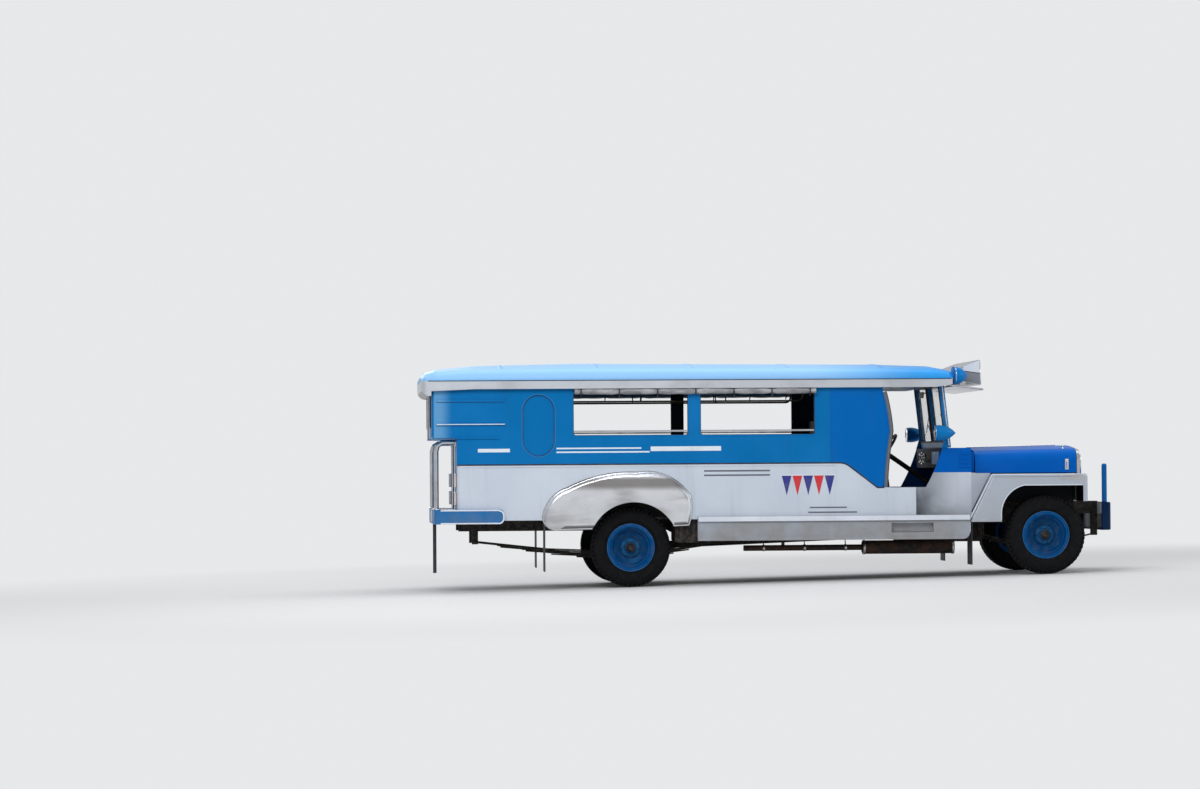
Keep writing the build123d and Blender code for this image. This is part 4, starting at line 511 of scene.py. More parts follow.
# Columns: look, name, colour, roughness, strength and scale of the bumps
for look_name, *settings in (
    # Painted shade: this dark blue draws shadow lines.
    ("crease", "crease_blue", (4, 56, 110), 0.5, 0.1),
    # Painted highlight: this pale blue draws a bright lip.
    ("bead_blue", "bead_blue", (50, 136, 202), 0.35, 0.1),
    # Painted highlights: these two paler blues colour the wheel's rings and rim.
    ("ring_highlight_blue", "ring_highlight_blue", (30, 116, 182), 0.35, 0.1),
    ("wheel_edge_highlight", "wheel_edge_highlight", (20, 96, 160), 0.4, 0.1),
    ("plastic", "black_plastic", (30, 30, 32)),
    ("flap", "flap_rubber", (42, 46, 52), 0.7, 0.5, 60),
    ("dial", "dial_face", (226, 226, 220), 0.3, 0.02),
    ("plate", "blank_plate", (226, 226, 222), 0.4, 0.05),
    ("pennant_red", "pennant_red", (206, 34, 48), 0.4, 0.05),
    ("pennant_blue", "pennant_blue", (42, 46, 132), 0.4, 0.05),
    ("stripe", "pale_stripe", (220, 228, 236), 0.4, 0.05),
    ("dark_stripe", "dark_stripe", (96, 100, 112), 0.5, 0.05),
    ("seal", "dark_seal", (14, 22, 44), 0.6, 0.2),
    ("seal_grey", "grey_seal", (120, 126, 136), 0.6, 0.2),
    ("jamb", "jamb_grey", (104, 108, 116), 0.5, 0.3),
    ("lining", "dark_lining", (20, 20, 23), 0.7, 0.3),
):
    materials[look_name] = plastic(*settings)

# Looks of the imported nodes, by the start of their names; the longest that fits counts
node_looks = {
    "black": "chassis_frame rear_axle front_axle rear_springs front_springs knuckle tie_rod prop_shaft"
             " radiator fuel_tank steering_column",
    "engine": "engine_block", "rusty": "exhaust", "floor": "floor", "lined_silver": "lower_side",
    "lined_blue": "upper_side", "tail_blue": "rear_wall", "gutter": "roof_gutters", "pod_blue": "roof_pods",
    "roof_blue": "roof", "polished": "rear_fenders", "fender_silver": "front_fenders", "hood_blue": "hood",
    "cowl": "cowl", "steel": "roof_header grille rails", "chrome": "headlamps", "glass": "windscreen_glass",
    "side_blue": "windscreen_frame rear_step side_mirrors", "lining": "seat_frames", "vinyl": "seat_cushions",
    "plastic": "steering_wheel controls", "rocker": "rockers", "bumper_blue": "front_bumper",
    "curtain": "rolled_curtains", "red_lens": "tail_lamps", "flap": "mud_flaps", "rubber": "tyre",
    "wheel": "wheel",
}
look_of = {start: look_name for look_name, starts in node_looks.items() for start in starts.split()}
for node_name, node in nodes.items():
    fitting = [start for start in look_of if node_name.startswith(start)]
    if fitting:
        node.data.materials.clear()
        node.data.materials.append(materials[look_of[max(fitting, key=len)]])


# Mesh building
def from_bmesh(name, shape, look, body="vehicle", smooth=False, bevel=0.0):
    # Turns a shape in the level body's millimetres into a piece that rides on a body.
    mesh = bpy.data.meshes.new(name)
    bmesh.ops.recalc_face_normals(shape, faces=shape.faces)
    shape.to_mesh(mesh)
    shape.free()
    mesh.transform(LEAN)
    mesh.materials.append(materials[look])
    piece = placed(name, mesh)
    if smooth:
        mesh.shade_smooth()
    if bevel:
        rounding = piece.modifiers.new("rounding", "BEVEL")
        rounding.width = bevel * MM
        rounding.segments = 2
        rounding.limit_method = "ANGLE"
    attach(piece, body)
    return piece


def add_block(shape, low, high, turn=None, middle=None):
    # A block between two corners, turned about its middle where asked.
    low, high = Vector(low), Vector(high)
    place = Matrix.Translation((low + high) / 2) @ Matrix.Diagonal((*(high - low), 1))
    made = bmesh.ops.create_cube(shape, size=1, matrix=place)["verts"]
    if turn is not None:
        bmesh.ops.rotate(shape, cent=middle or (low + high) / 2, matrix=turn, verts=made)


def add_cylinder(shape, center, direction, radius, length, sides, tip_radius=None):
    # A cylinder or cone that starts at center and runs along direction.
    direction = Vector(direction).normalized()
    turn = direction.to_track_quat("Z", "Y").to_matrix().to_4x4()
    bmesh.ops.create_cone(
        shape, cap_ends=True, segments=sides, radius1=radius, radius2=tip_radius or radius, depth=length,
        matrix=Matrix.Translation(Vector(center) + direction * length / 2) @ turn,
    )


def circle(center, direction, along, radius, sides):
    # The corners of a circle about direction, at a distance along it from center.
    center, turn = Vector(center), Vector(direction).normalized().to_track_quat("Z", "Y").to_matrix()
    angles = [2 * math.pi * side / sides for side in range(sides)]
    return [center + turn @ Vector((math.cos(a) * radius, math.sin(a) * radius, along)) for a in angles]


def loft(shape, rows, closed=False, tip=None):
    # Faces between rows of corners. Unless closed, the ends are flat, or the last runs to a tip.
    rows = [[shape.verts.new(corner) for corner in row] for row in rows]
    count = len(rows[0])
    for near, far in zip(rows, rows[1:] + rows[:1] if closed else rows[1:]):
        for index in range(count):
            after = (index + 1) % count
            shape.faces.new((near[index], near[after], far[after], far[index]))
    if closed:
        return
    shape.faces.new(rows[0][::-1])
    if tip is None:
        shape.faces.new(rows[-1])
    else:
        top = shape.verts.new(tip)
        for index in range(count):
            shape.faces.new((rows[-1][index], rows[-1][(index + 1) % count], top))


def lofted(name, rows, look, closed=False, **kept):
    shape = bmesh.new()
    loft(shape, rows, closed)
    return from_bmesh(name, shape, look, **kept)


def blocks(name, rows, look, body="vehicle", bevel=2.0):
    # One piece from several blocks, each a pair of corners.
    shape = bmesh.new()
    for low, high in rows:
        add_block(shape, low, high)
    return from_bmesh(name, shape, look, body, bevel=bevel)


def mirrored(side, low, high):
    # The corners of a block whose y values are those of the left side.
    near, far = sorted((side * low[1], side * high[1]))
    return (low[0], near, low[2]), (high[0], far, high[2])


def rivets(name, points, direction, look, radius=7, height=3):
    # Low domes, one on each point.
    shape = bmesh.new()
    rings, sides = 3, 10
    angles = [math.pi / 2 * ring / rings for ring in range(rings)]
    for point in points:
        rows = [circle(point, direction, math.sin(a) * height, math.cos(a) * radius, sides) for a in angles]
        loft(shape, rows, tip=Vector(point) + Vector(direction).normalized() * height)
    return from_bmesh(name, shape, look, smooth=True)


def lathe(name, profile, center, direction, look, sides=64, closed=False, body="vehicle"):
    # Turns a profile of (distance along, radius) pairs about an axis.
    rows = [circle(center, direction, along, radius, sides) for along, radius in profile]
    return lofted(name, rows, look, closed, body=body, smooth=True)


def tube(name, points, radius, look, body="vehicle", closed=False, round_by=0.0):
    # A round bar along points, with its corners rounded.
    path = [Vector(p) for p in points]
    if round_by:
        steps = 6
        smooth_path = [path[0]]
        for before, corner, after in zip(path, path[1:], path[2:]):
            start = corner + (before - corner).normalized() * round_by
            end = corner + (after - corner).normalized() * round_by
            for share in [step / steps for step in range(steps + 1)]:
                smooth_path.append(
                    start * (1 - share) ** 2 + corner * 2 * share * (1 - share) + end * share ** 2
                )
        path = smooth_path + [path[-1]]
    curve = bpy.data.curves.new(name, "CURVE")
    curve.dimensions = "3D"
    spline = curve.splines.new("POLY")
    spline.points.add(len(path) - 1)
    for point, place in zip(spline.points, path):
        point.co = (*(LEAN @ place), 1)
    spline.use_cyclic_u = closed
    curve.bevel_depth = radius * MM
    curve.bevel_resolution = 3
    curve.use_fill_caps = True
    curve.materials.append(materials[look])
    piece = placed(name, curve)
    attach(piece, body)
    return piece


def slab(name, corners, way, look):
    # A flat outline made thick along way.
    return lofted(name, [corners, [Vector(corner) + Vector(way) for corner in corners]], look)


def strip(name, outline, thick, place, look):
    # A flat shape of (x, z) points, set on a side of the body and made thick outward.
    return slab(name, [(x, place, z) for x, z in outline], (0, math.copysign(thick, place), 0), look)


def ring(name, place, inner, outer, width, look, sides=48):
    # A plain ring with softened edges that stands on place and faces forward.
    edge = min(2, (outer - inner) / 3)
    profile = [
        (0, inner), (0, outer), (width - edge, outer), (width, outer - edge), (width, inner + edge),
        (width - edge, inner),
    ]
    return lathe(name, profile, place, FORWARD, look, sides, closed=True)


def arc(center, radius, start, end, steps):
    # Points of an arc in the side view, angles in degrees from forward, upward positive.
    angles = [math.radians(start + (end - start) * step / steps) for step in range(steps + 1)]
    return [(center[0] + radius * math.cos(a), center[1] + radius * math.sin(a)) for a in angles]


def through(first, middle, last, steps=10):
    # Points of the arc through three points of the side view.
    (ax, az), (bx, bz), (cx, cz) = first, middle, last
    det = 2 * (ax * (bz - cz) + bx * (cz - az) + cx * (az - bz))
    a2, b2, c2 = ax * ax + az * az, bx * bx + bz * bz, cx * cx + cz * cz
    center = (
        (a2 * (bz - cz) + b2 * (cz - az) + c2 * (az - bz)) / det,
        (a2 * (cx - bx) + b2 * (ax - cx) + c2 * (bx - ax)) / det,
    )
    start, mid, end = (
        math.degrees(math.atan2(z - center[1], x - center[0])) for x, z in (first, middle, last)
    )
    mid = start + (mid - start + 180) % 360 - 180
    end = mid + (end - mid + 180) % 360 - 180
    return arc(center, math.dist(center, first), start, end, steps)


def rounded(low, high, radius, steps=4):
    # The corners of a rounded rectangle in the side view.
    left, foot, right, top = low[0] + radius, low[1] + radius, high[0] - radius, high[1] - radius
    corners = ((right, top), (left, top), (left, foot), (right, foot))
    return [
        point for index, corner in enumerate(corners)
        for point in arc(corner, radius, 90 * index, 90 * index + 90, steps)
    ]


def moved(path, x, z):
    return [(px + x, pz + z) for px, pz in path]


def ribbon(path, width, closed):
    # Both edges of a band that follows a path of (x, z) points with mitred corners.
    points = [Vector(p) for p in path]
    count = len(points)
    for index, point in enumerate(points):
        before = points[index - 1] if index or closed else None
        after = points[(index + 1) % count] if index + 1 < count or closed else None
        ways = [(point - before).normalized()] if before is not None else []
        ways += [(after - point).normalized()] if after is not None else []
        way = sum(ways, Vector((0, 0))).normalized()
        reach = width / 2 / max(0.5, way.dot(ways[0]))
        normal = Vector((-way.y, way.x)) * reach
        yield point + normal, point - normal


def band(name, path, width, thick, place, look, closed=False, **kept):
    # A flat band along a path on a side of the body, made thick outward.
    outer = place + math.copysign(thick, place)
    rows = [
        [(p.x, y, p.y) for p, y in ((high, place), (high, outer), (low, outer), (low, place))]
        for high, low in ribbon(path, width, closed)
    ]
    return lofted(name, rows, look, closed, **kept)


def rivet_line(name, path, pitch, place, look, radius=7, height=3):
    # Rivets at an even pitch along a path on a side of the body.
    found = []
    left = pitch / 2
    for start, end in zip(path, path[1:]):
        start, end = Vector(start), Vector(end)
        length = (end - start).length
        while left <= length:
            spot = start.lerp(end, left / length)
            found.append((spot.x, place, spot.y))
            left += pitch
        left -= length
    rivets(name, found, (0, math.copysign(1, place), 0), look, radius, height)


def surface(node, start, way):
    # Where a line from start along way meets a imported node, in the level body.
    turn = LEAN.to_3x3().normalized()
    found, place, _, _ = nodes[node].ray_cast(LEAN @ Vector(start), turn @ Vector(way))
    return LEVEL @ place if found else Vector(start)


# Studio: a pale floor that fades into the backdrop, a wide soft key, a fill and a rim
def studio():
    size = 60
    floor_mesh = bpy.data.meshes.new("studio_floor")
    corners = [(-size, -size, 0), (size, -size, 0), (size, size, 0), (-size, size, 0)]
    floor_mesh.from_pydata(corners, [], [(0, 1, 2, 3)])
    floor = placed("studio_floor", floor_mesh)
    shader = Shader("studio_floor", STUDIO_FLOOR, 0.75, specular=0.2)
    floor_mesh.materials.append(shader.done())
    fade = shader.ramp(shader.vector("LENGTH", shader.place, output="Value"), 4.4, 12)
    rays = shader.add("ShaderNodeLightPath").outputs
    seen = shader.math("MAXIMUM", rays["Is Camera Ray"], rays["Is Glossy Ray"])
    glow = shader.add("ShaderNodeEmission", {"Color": BACKDROP})
    inputs = {0: shader.times(fade, seen), 1: shader.surface.outputs[0], 2: glow.outputs[0]}
    mix = shader.add("ShaderNodeMixShader", inputs)
    shader.feed(shader.tree.nodes["Material Output"], {"Surface": mix.outputs[0]})

    world = bpy.data.worlds.new("studio")
    world.use_nodes = True
    bpy.context.scene.world = world
    tree = world.node_tree
    soft = tree.nodes["Background"]
    soft.inputs["Color"].default_value = SKY
    soft.inputs["Strength"].default_value = 0.55
    plain = tree.nodes.new("ShaderNodeBackground")
    plain.inputs["Color"].default_value = BACKDROP
    rays = tree.nodes.new("ShaderNodeLightPath").outputs
    seen = tree.nodes.new("ShaderNodeMath")
    seen.operation = "MAXIMUM"
    mix = tree.nodes.new("ShaderNodeMixShader")
    for socket, target in (
        (rays["Is Camera Ray"], seen.inputs[0]), (rays["Is Transmission Ray"], seen.inputs[1]),
        (seen.outputs[0], mix.inputs[0]), (soft.outputs[0], mix.inputs[1]), (plain.outputs[0], mix.inputs[2]),
        (mix.outputs[0], tree.nodes["World Output"].inputs["Surface"]),
    ):
        tree.links.new(socket, target)

    # Columns: name, place, aim, size, watts
    for name, place, target, spread, watts in (
        ("key", (-3.5, -8.5, 7.5), (0, 0, 0.9), (7, 4), 520),
        ("top", (0, 0.5, 9), (0, 0, 1), (9, 5), 380),
        ("front", (9, -3, 4), (2, 0, 1), (4, 3), 160),
        ("back", (-6, 8, 6), (-1, 0, 1), (7, 4), 260),
    ):
        lamp = bpy.data.lights.new(name, "AREA")
        lamp.shape = "RECTANGLE"
        lamp.size, lamp.size_y = spread
        lamp.energy = watts
        holder = placed(name, lamp)
        holder.location = place
        holder.rotation_euler = (Vector(target) - Vector(place)).to_track_quat("-Z", "Y").to_euler()


studio()

# Outlines of the body that the trims follow
door_foot = (slant_foot + 66, doorsill)
door_crest = (door_edge + 42, overhang + 50)
door_head = (door_edge - 20, window_top - 37)
door_curve = (
    through(door_foot, (door_edge, belt), door_crest)
    + through(door_crest, (door_edge + 20, (door_crest[1] + door_head[1]) / 2), door_head)[1:]
)
lean = math.atan2(belt - doorsill, slant_foot - slant_top)
slant_center = (slant_top - slant_round * math.tan(lean / 2), belt - slant_round)
slant = arc(slant_center, slant_round, 90, 90 - math.degrees(lean), 6) + [(slant_foot, doorsill), door_foot]
fender_outline = (
    through((-842, 655), (-776, 832), (-614, 946)) + through((-614, 946), (-290, 1063), (58, 1090))[1:]
    + through((58, 1090), (372, 1042), (562, 868))[1:] + through((562, 868), (574, 760), (546, 600))[1:]
)
front_arch = (
    [(front_axle_x - 450, 612), (front_axle_x - 450, 666)]
    + through((front_axle_x - 450, 666), (front_axle_x - 392, 845), (front_axle_x - 226, 949))[1:]
    + [(front_axle_x + 344, 949)]
)


# Tyres: carcass with ribs and rings, and lugs across both shoulders
def tyre(end, side_name, side, center):
    place, body = f"{end}_{side_name}", f"{end}_{side_name}_wheel"
    half = [
        (64, 207), (64, 230), (77, 236), (88, 254), (90, 256), (92, 256), (93, 262), (94.6, 290), (93.4, 322),
        (92, 326), (89, 338), (84, 350), (80, 360), (72, 364), (66, 379.4), (46, 379.8), (45, 371), (37, 371),
        (36, 379.8), (16, 379.9), (15, 371), (7, 371), (6, 379.9),
    ]
    profile = [(-along, radius) for along, radius in half] + half[::-1]
    piece = lathe(f"tyre_{place}_dressed", profile, center, (0, side, 0), "rubber", 96, True, body)
    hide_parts(f"tyre_{end}_{side_name}")
    lugs = bmesh.new()
    count, lug = 52, Vector((13, 12, 9.5))
    for index in range(count):
        for shoulder in (-1, 1):
            turn = Matrix.Rotation(2 * math.pi * (index + 0.25 * shoulder) / count, 3, "Y")
            middle = center + Vector((0, shoulder * 76, 369))
            add_block(lugs, middle - lug, middle + lug, turn, center)
    from_bmesh(f"tyre_{place}_lugs", lugs, "rubber", body, bevel=2)


# Wheels: studs and nuts, a grease cap, a valve and the rings of the dish, in paler blues as painted
# highlights
def wheel(end, side_name, side, center):
    place, body, outward = f"{end}_{side_name}", f"{end}_{side_name}_wheel", (0, side, 0)
    nuts = bmesh.new()
    for index in range(6):
        angle = math.pi * index / 3
        spot = center + Vector((84 * math.cos(angle), side * -8, 84 * math.sin(angle)))
        for radius, length, sides in ((15, 4, 20), (12, 18, 6), (6, 27, 10)):
            add_cylinder(nuts, spot, outward, radius, length, sides)
    from_bmesh(f"wheel_nuts_{place}", nuts, "wheel", body, bevel=1)
    cap = [(44, 30), (50, 38), (56, 37), (64, 31), (70, 20), (72, 8), (72.5, 0.5)]
    lathe(f"grease_cap_{place}", cap, center, outward, "black", 40, body=body)
    for radius, reach, look in (
        (196, 10, "ring_highlight_blue"), (158, 8, "ring_highlight_blue"), (120, -9, "ring_highlight_blue"), (66, 4, "wheel_edge_highlight"),
    ):
        inner, outer = reach - 3, reach + 3
        profile = [(inner, radius - 3), (outer, radius - 2), (outer, radius + 2), (inner, radius + 3)]
        lathe(f"dish_ring_{place}_{radius}", profile, center, outward, look, 72, True, body)
    lip = [(74, 224), (76.5, 226), (76.5, 229.5), (74, 229.5)]
    lathe(f"rim_lip_{place}", lip, center, outward, "wheel_edge_highlight", 96, True, body)
    valve = [center + Vector((0, side * out, rise)) for out, rise in ((20, 176), (44, 168), (62, 166))]
    tube(f"valve_{place}", valve, 4, "plastic", body, round_by=8)


for end in ("front", "rear"):
    for side_name, side in SIDES:
        center = LEVEL @ joint_at[f"{end}_{side_name}_spin"]
        tyre(end, side_name, side, center)
        wheel(end, side_name, side, center)


def banding(side_name, side):
    # A call that lays bands on one side of the body, each so far out from its middle.
    def rim(name, path, width, thick, out, look, **kept):
        band(f"{name}_{side_name}", path, width, thick, side * out, look, **kept)
    return rim


# Sides of the body
def body_side(side_name, side):
    y = side * side_half
    seam_x = 1926
    rim = banding(side_name, side)

    def rivets_between(name, start, end, z, pitch, out, look, height=3):
        rivet_line(f"{name}_rivets_{side_name}", [(start, z), (end, z)], pitch, side * out, look, 5, height)

    # A painted shadow line: a dark band along the belt, where the blue sheet meets the silver one.
    rim("belt_line", [(lower_rear + 2, belt)] + slant, 13, 2, side_half, "seal")
    # Front panel, a separate darker sheet lapped over the seam
    panel = [(seam_x, belt + 8)] + moved(slant[:-1], 5, 8) + [(door_foot[0] - 14, doorsill + 8)]
    panel += moved(door_curve[1:], -12, 0) + [(door_head[0] - 12, gutter_low - 14), (seam_x, gutter_low - 14)]
    strip(f"front_panel_{side_name}", panel, 2.4, y, "panel_blue")
    seam = [(seam_x + 14, belt + 20), (seam_x + 14, gutter_low - 10)]
    rivet_line(f"seam_rivets_{side_name}", seam, 78, y + side * 2, "panel_blue", 5, 2.5)
    # Jamb of the doorway ahead of the panel's edge
    rim("door_jamb", moved(door_curve, 10, 0), 56, 20, side_half - 34, "jamb")
    rim("door_lip", moved(door_curve, 36, 0), 8, 26, side_half - 38, "seal")
    rim("door_bead", moved(door_curve, -6, 0), 12, 5, side_half, "panel_blue", smooth=True)
    low, high = (door_foot[0], side_half - 40, doorsill - 4), (cowl_front - 800, side_half + 1, doorsill + 2)
    blocks(f"sill_plate_{side_name}", [mirrored(side, low, high)], "silver")
    for index, start in enumerate(windows):
        end = start + window_length
        edge = rounded((start - 5, sill - 5), (end + 5, window_top - 22), 26)
        band(f"window_frame_{side_name}_{index}", edge, 13, 3, y, "side_blue", closed=True, bevel=1)
        edge = rounded((start + 3, sill + 3), (end - 3, window_top - 3), 22)
        band(f"window_seal_{side_name}_{index}", edge, 6, 34, side * (side_half - 36), "seal", closed=True)
    # Plain stripes where the side carries lettering, and a row of plain pennants
    # Columns: start, end, height, width, look
    for index, (start, end, z, width, look) in enumerate((
        (-714, 100, 1334, 14, "stripe"), (-714, 180, 1298, 14, "stripe"), (190, 868, 1326, 44, "stripe"),
        (-1466, -1160, 1318, 34, "stripe"), (702, 1338, 1110, 16, "dark_stripe"),
        (702, 1338, 1068, 16, "dark_stripe"), (1720, 2080, 752, 14, "dark_stripe"),
        (1704, 2177, 706, 14, "dark_stripe"),
    )):
        band(f"plain_stripe_{side_name}_{index}", [(start, z), (end, z)], width, 0.8, y, look)
    for index in range(5):
        flag = moved([(0, 1060), (94, 1060), (47, 872)], 1452 + index * 104, 0)
        strip(f"pennant_{side_name}_{index}", flag, 0.9, y, ("pennant_blue", "pennant_red")[index % 2])
    rim("pennant_line", [(1440, 1064), (1974, 1064)], 8, 1.2, side_half, "stripe")
    # Beads, laps and rivets of the pressed sheets, with a painted highlight along the lower bead and painted
    # shadow lines below the beads and under the overhang
    rim("quarter_line", [(upper_rear + 50, 1570), (-1206, 1570)], 7, 1.6, side_half + 10, "stripe")
    for index, (start, end, z) in enumerate((
        (upper_rear + 50, -1206, 1557), (upper_rear + 50, -1206, 1782),
        (upper_rear + 40, -1640, overhang + 6),
    )):
        band(f"crease_{side_name}_{index}", [(start, z), (end, z)], 6, 1.2, y, "crease")
    # The blind recess, with painted shade down its edge and a painted highlight round its lip
    recess = rounded((-1034, 1263), (-734, 1845), 149, 10)
    rim("recess_edge", recess, 7, 3, side_half - 18, "crease", closed=True)
    recess = rounded((-1042, 1255), (-726, 1853), 157, 10)
    rim("recess_lip", recess, 4, 1.5, side_half, "bead_blue", closed=True)
    rivets_between("quarter", upper_rear + 44, -1560, overhang + 22, 90, side_half, "side_blue")
    rivets_between("belt", lower_rear + 60, seam_x - 20, belt + 22, 160, side_half, "side_blue", 2)
    rivets_between("skirt", lower_rear + 40, -900, side_bottom + 14, 95, side_half, "silver", 2)
    rivets_between("gutter", -1860, 2560, gutter_low + 14, 170, gutter_half, "gutter", 2)
    for joint_x in (-760, 640, 2060):
        joint = [(joint_x, gutter_low + 4), (joint_x, roof_line_z - 3)]
        band(f"gutter_joint_{side_name}_{joint_x}", joint, 26, 1.5, side * gutter_half, "gutter", bevel=0.6)
    # A painted shadow line: a dark band where the roof meets the gutter.
    rim("roof_line", [(-1940, roof_line_z), (cowl_front - 210, roof_line_z)], 8, 2, gutter_half, "seal")


# Fenders and rockers
def fenders(side_name, side):
    rim = banding(side_name, side)
    bead = [(x, side * (side_half + 8), z) for x, z in fender_outline]
    tube(f"rear_fender_bead_{side_name}", bead, 7, "chrome")
    rim("rear_fender_seal", moved(fender_outline, 0, 2), 30, 2, side_half, "seal")
    bolts = moved(fender_outline[2:-4], 0, -13)
    rivet_line(f"fender_bolts_{side_name}", bolts, 120, side * (side_half + 8), "steel", 6, 3)
    slope = [(3262, 618), (3492, 1058), (front_axle_x + 264, 1058)]
    rim("fender_edge", slope, 9, 3, fender_half, "bright_silver")
    rim("fender_step", [(3506, 1034), (front_axle_x + 240, 1034)], 4, 2, fender_half, "seal_grey")
    patch = [(4150, 1000), (4388, 1000), (4388, 1044), (4370, 1056), (4150, 1056)]
    strip(f"fender_patch_{side_name}", patch, 1.6, side * fender_half, "steel")
    rim("arch_bead", moved(front_arch, -5, 5), 8, 3, fender_half, "bright_silver")
    heads = [(3300, 640), (3478, 985)]
    rivet_line(f"fender_rivets_{side_name}", heads, 90, side * fender_half, "silver", 6, 3)
    # Silver panel that fills the corner between the cowl and the fender
    corner = [(cowl_front - 4, 642), (cowl_front - 4, 1072), (3496, 1072), (3300, 690)]
    strip(f"cowl_corner_{side_name}", corner, 4, side * 794, "fender_silver_plain")
    # Rocker: bright lip above, bead with a curled nose below, tread in the foot recess
    lip = [(642, 648), (cowl_front - 44, 648)]
    rim("rocker_lip", lip, 46, 1.6, side_half + 50, "bright_silver", bevel=0.6)
    nose = arc((cowl_front - 110, 524), 69, -88, -4, 8)
    bead = [(642, 455), (cowl_front - 112, 455)] + nose + [(cowl_front - 42, 600)]
    rim("rocker_bead", bead, 12, 5, side_half + 25, "bright_silver", smooth=True)
    recess_x = cowl_front - 788
    treads = [
        mirrored(side, (x, side_half - 2, 508), (x + 12, side_half + 26, 512))
        for x in (recess_x + 24 * index for index in range(16))
    ]
    blocks(f"foot_tread_{side_name}", treads, "seal", bevel=1)


# Step at the tail, lamps and handrails
def tail(side_name, side):
    corner_x, step_foot = -1272, 623
    edging = (
        [(step_rear, step_top), (corner_x, step_top)] + arc((corner_x, 697), 48, 86, 4, 5)
        + arc((corner_x, 670), 48, -4, -86, 5) + [(corner_x, step_foot), (step_rear, step_foot)]
    )
    banding(side_name, side)("step_edging", edging, 13, 3, step_half, "bright_silver", bevel=0.8)
    y = side * tail_lamp_y
    for z, look in ((1034, "red_lens"), (860, "amber_lens")):
        face = ((-1692, y - 46, z - 60), (-1689, y + 46, z + 60))
        blocks(f"lamp_lens_{side_name}_{z}", [face], look, bevel=6)
        edges = [((-1694, y + left, z + low), (-1672, y + right, z + high)) for left, right, low, high in (
            (-52, -47, -66, 66), (47, 52, -66, 66), (-52, 52, -66, -61), (-52, 52, 61, 66),
        )]
        blocks(f"lamp_frame_{side_name}_{z}", edges, "chrome", bevel=1.5)
    flange = [(0, 42), (5, 42), (9, 32), (14, 26)]
    for x, z, way in ((lower_rear, 1400, BACK), (-1862, 755, UP)):
        lathe(f"rail_flange_{side_name}_{z}", flange, (x, side * handrail_y, z), way, "steel", 32)
    pane_y = side * 602.5
    pane = [(upper_rear - 1, y, z) for y, z in rounded((pane_y - 158, 1542), (pane_y + 158, 1872), 42)]
    tube(f"rear_window_seal_{side_name}", pane, 7, "seal", closed=True)


for side_name, side in SIDES:
    body_side(side_name, side)
    fenders(side_name, side)
    tail(side_name, side)

treads = [((-1872, y, 755), (-1682, y + 14, 759)) for y in range(-850, 850, 44)]
blocks("step_treads", treads, "steel", bevel=1)


# Padded seats: each swells under air pressure from a slightly smaller shape, then
# channels are pressed in where the cover is sewn
def cushion(name, low, high, way, pitch, cap, across, depth=9):
    low, high = Vector(low), Vector(high)
    shrink = Vector((cap * 0.55,) * 3)
    mesh = bpy.data.meshes.new(name)
    shape = bmesh.new()
    add_block(shape, low + shrink, high - shrink)
    rounding = min(26, min(high - low) / 3)
    bmesh.ops.bevel(shape, geom=shape.edges[:], offset=rounding, segments=3, profile=0.5, affect="EDGES")
    bmesh.ops.triangulate(shape, faces=shape.faces[:])
    shape.to_mesh(mesh)
    shape.free()
    mesh.transform(Matrix.Scale(MM, 4))
    piece = placed(name, mesh)
    bpy.context.view_layer.objects.active = piece

    def settle(kind):
        # Applies the modifiers by taking the evaluated mesh.
        graph = bpy.context.evaluated_depsgraph_get()
        made = bpy.data.meshes.new_from_object(piece.evaluated_get(graph), depsgraph=graph)
        piece.modifiers.clear()
        piece.data = made
        made.name = f"{name}_{kind}"
        return made

    remesh = piece.modifiers.new("remesh", "REMESH")
    remesh.mode = "VOXEL"
    remesh.voxel_size = 18 * MM
    before = [v.co.copy() for v in settle("remeshed").vertices]
    cloth = piece.modifiers.new("cloth", "CLOTH")
    cloth.settings.quality = 4
    cloth.settings.mass = 0.3
    cloth.settings.use_pressure = True
    cloth.settings.uniform_pressure_force = 4
    cloth.settings.effector_weights.gravity = 0
    cloth.collision_settings.use_collision = False
    for step in range(1, 21):
        bpy.context.scene.frame_set(step)
    settle("blown")
    bpy.context.scene.frame_set(1)
    for vertex, start in zip(piece.data.vertices, before):
        swell = vertex.co - start
        if swell.length > cap * MM:
            vertex.co = start + swell.normalized() * cap * MM
    piece.modifiers.new("smooth", "SUBSURF").levels = 1
    mesh = settle("smooth")
    mesh.transform(Matrix.Scale(1 / MM, 4))
    middle, half = (low + high) / 2, (high - low) / 2
    flat = way.index(max(way, key=abs))
    lines = [pitch * (index + 1) for index in range(int((high - low)[across] / pitch - 0.5))]
    for vertex in mesh.vertices:
        # Channels run across the pad at an even pitch, deepest in its face
        place = vertex.co
        spot = place[across] - low[across]
        groove = sum(math.exp(-((spot - line) / 9) ** 2) for line in lines)
        face = max(0, (place[flat] - middle[flat]) / half[flat] * way[flat])
        place[flat] -= way[flat] * min(1, groove) * depth * min(1, 1.6 * face)
        for axis in range(3):
            place[axis] = max(low[axis], min(high[axis], place[axis]))
    mesh.transform(LEAN)
    mesh.materials.clear()
    mesh.materials.append(materials["vinyl"])
    mesh.shade_smooth()
    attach(piece, "vehicle")
    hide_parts("seat_cushions")


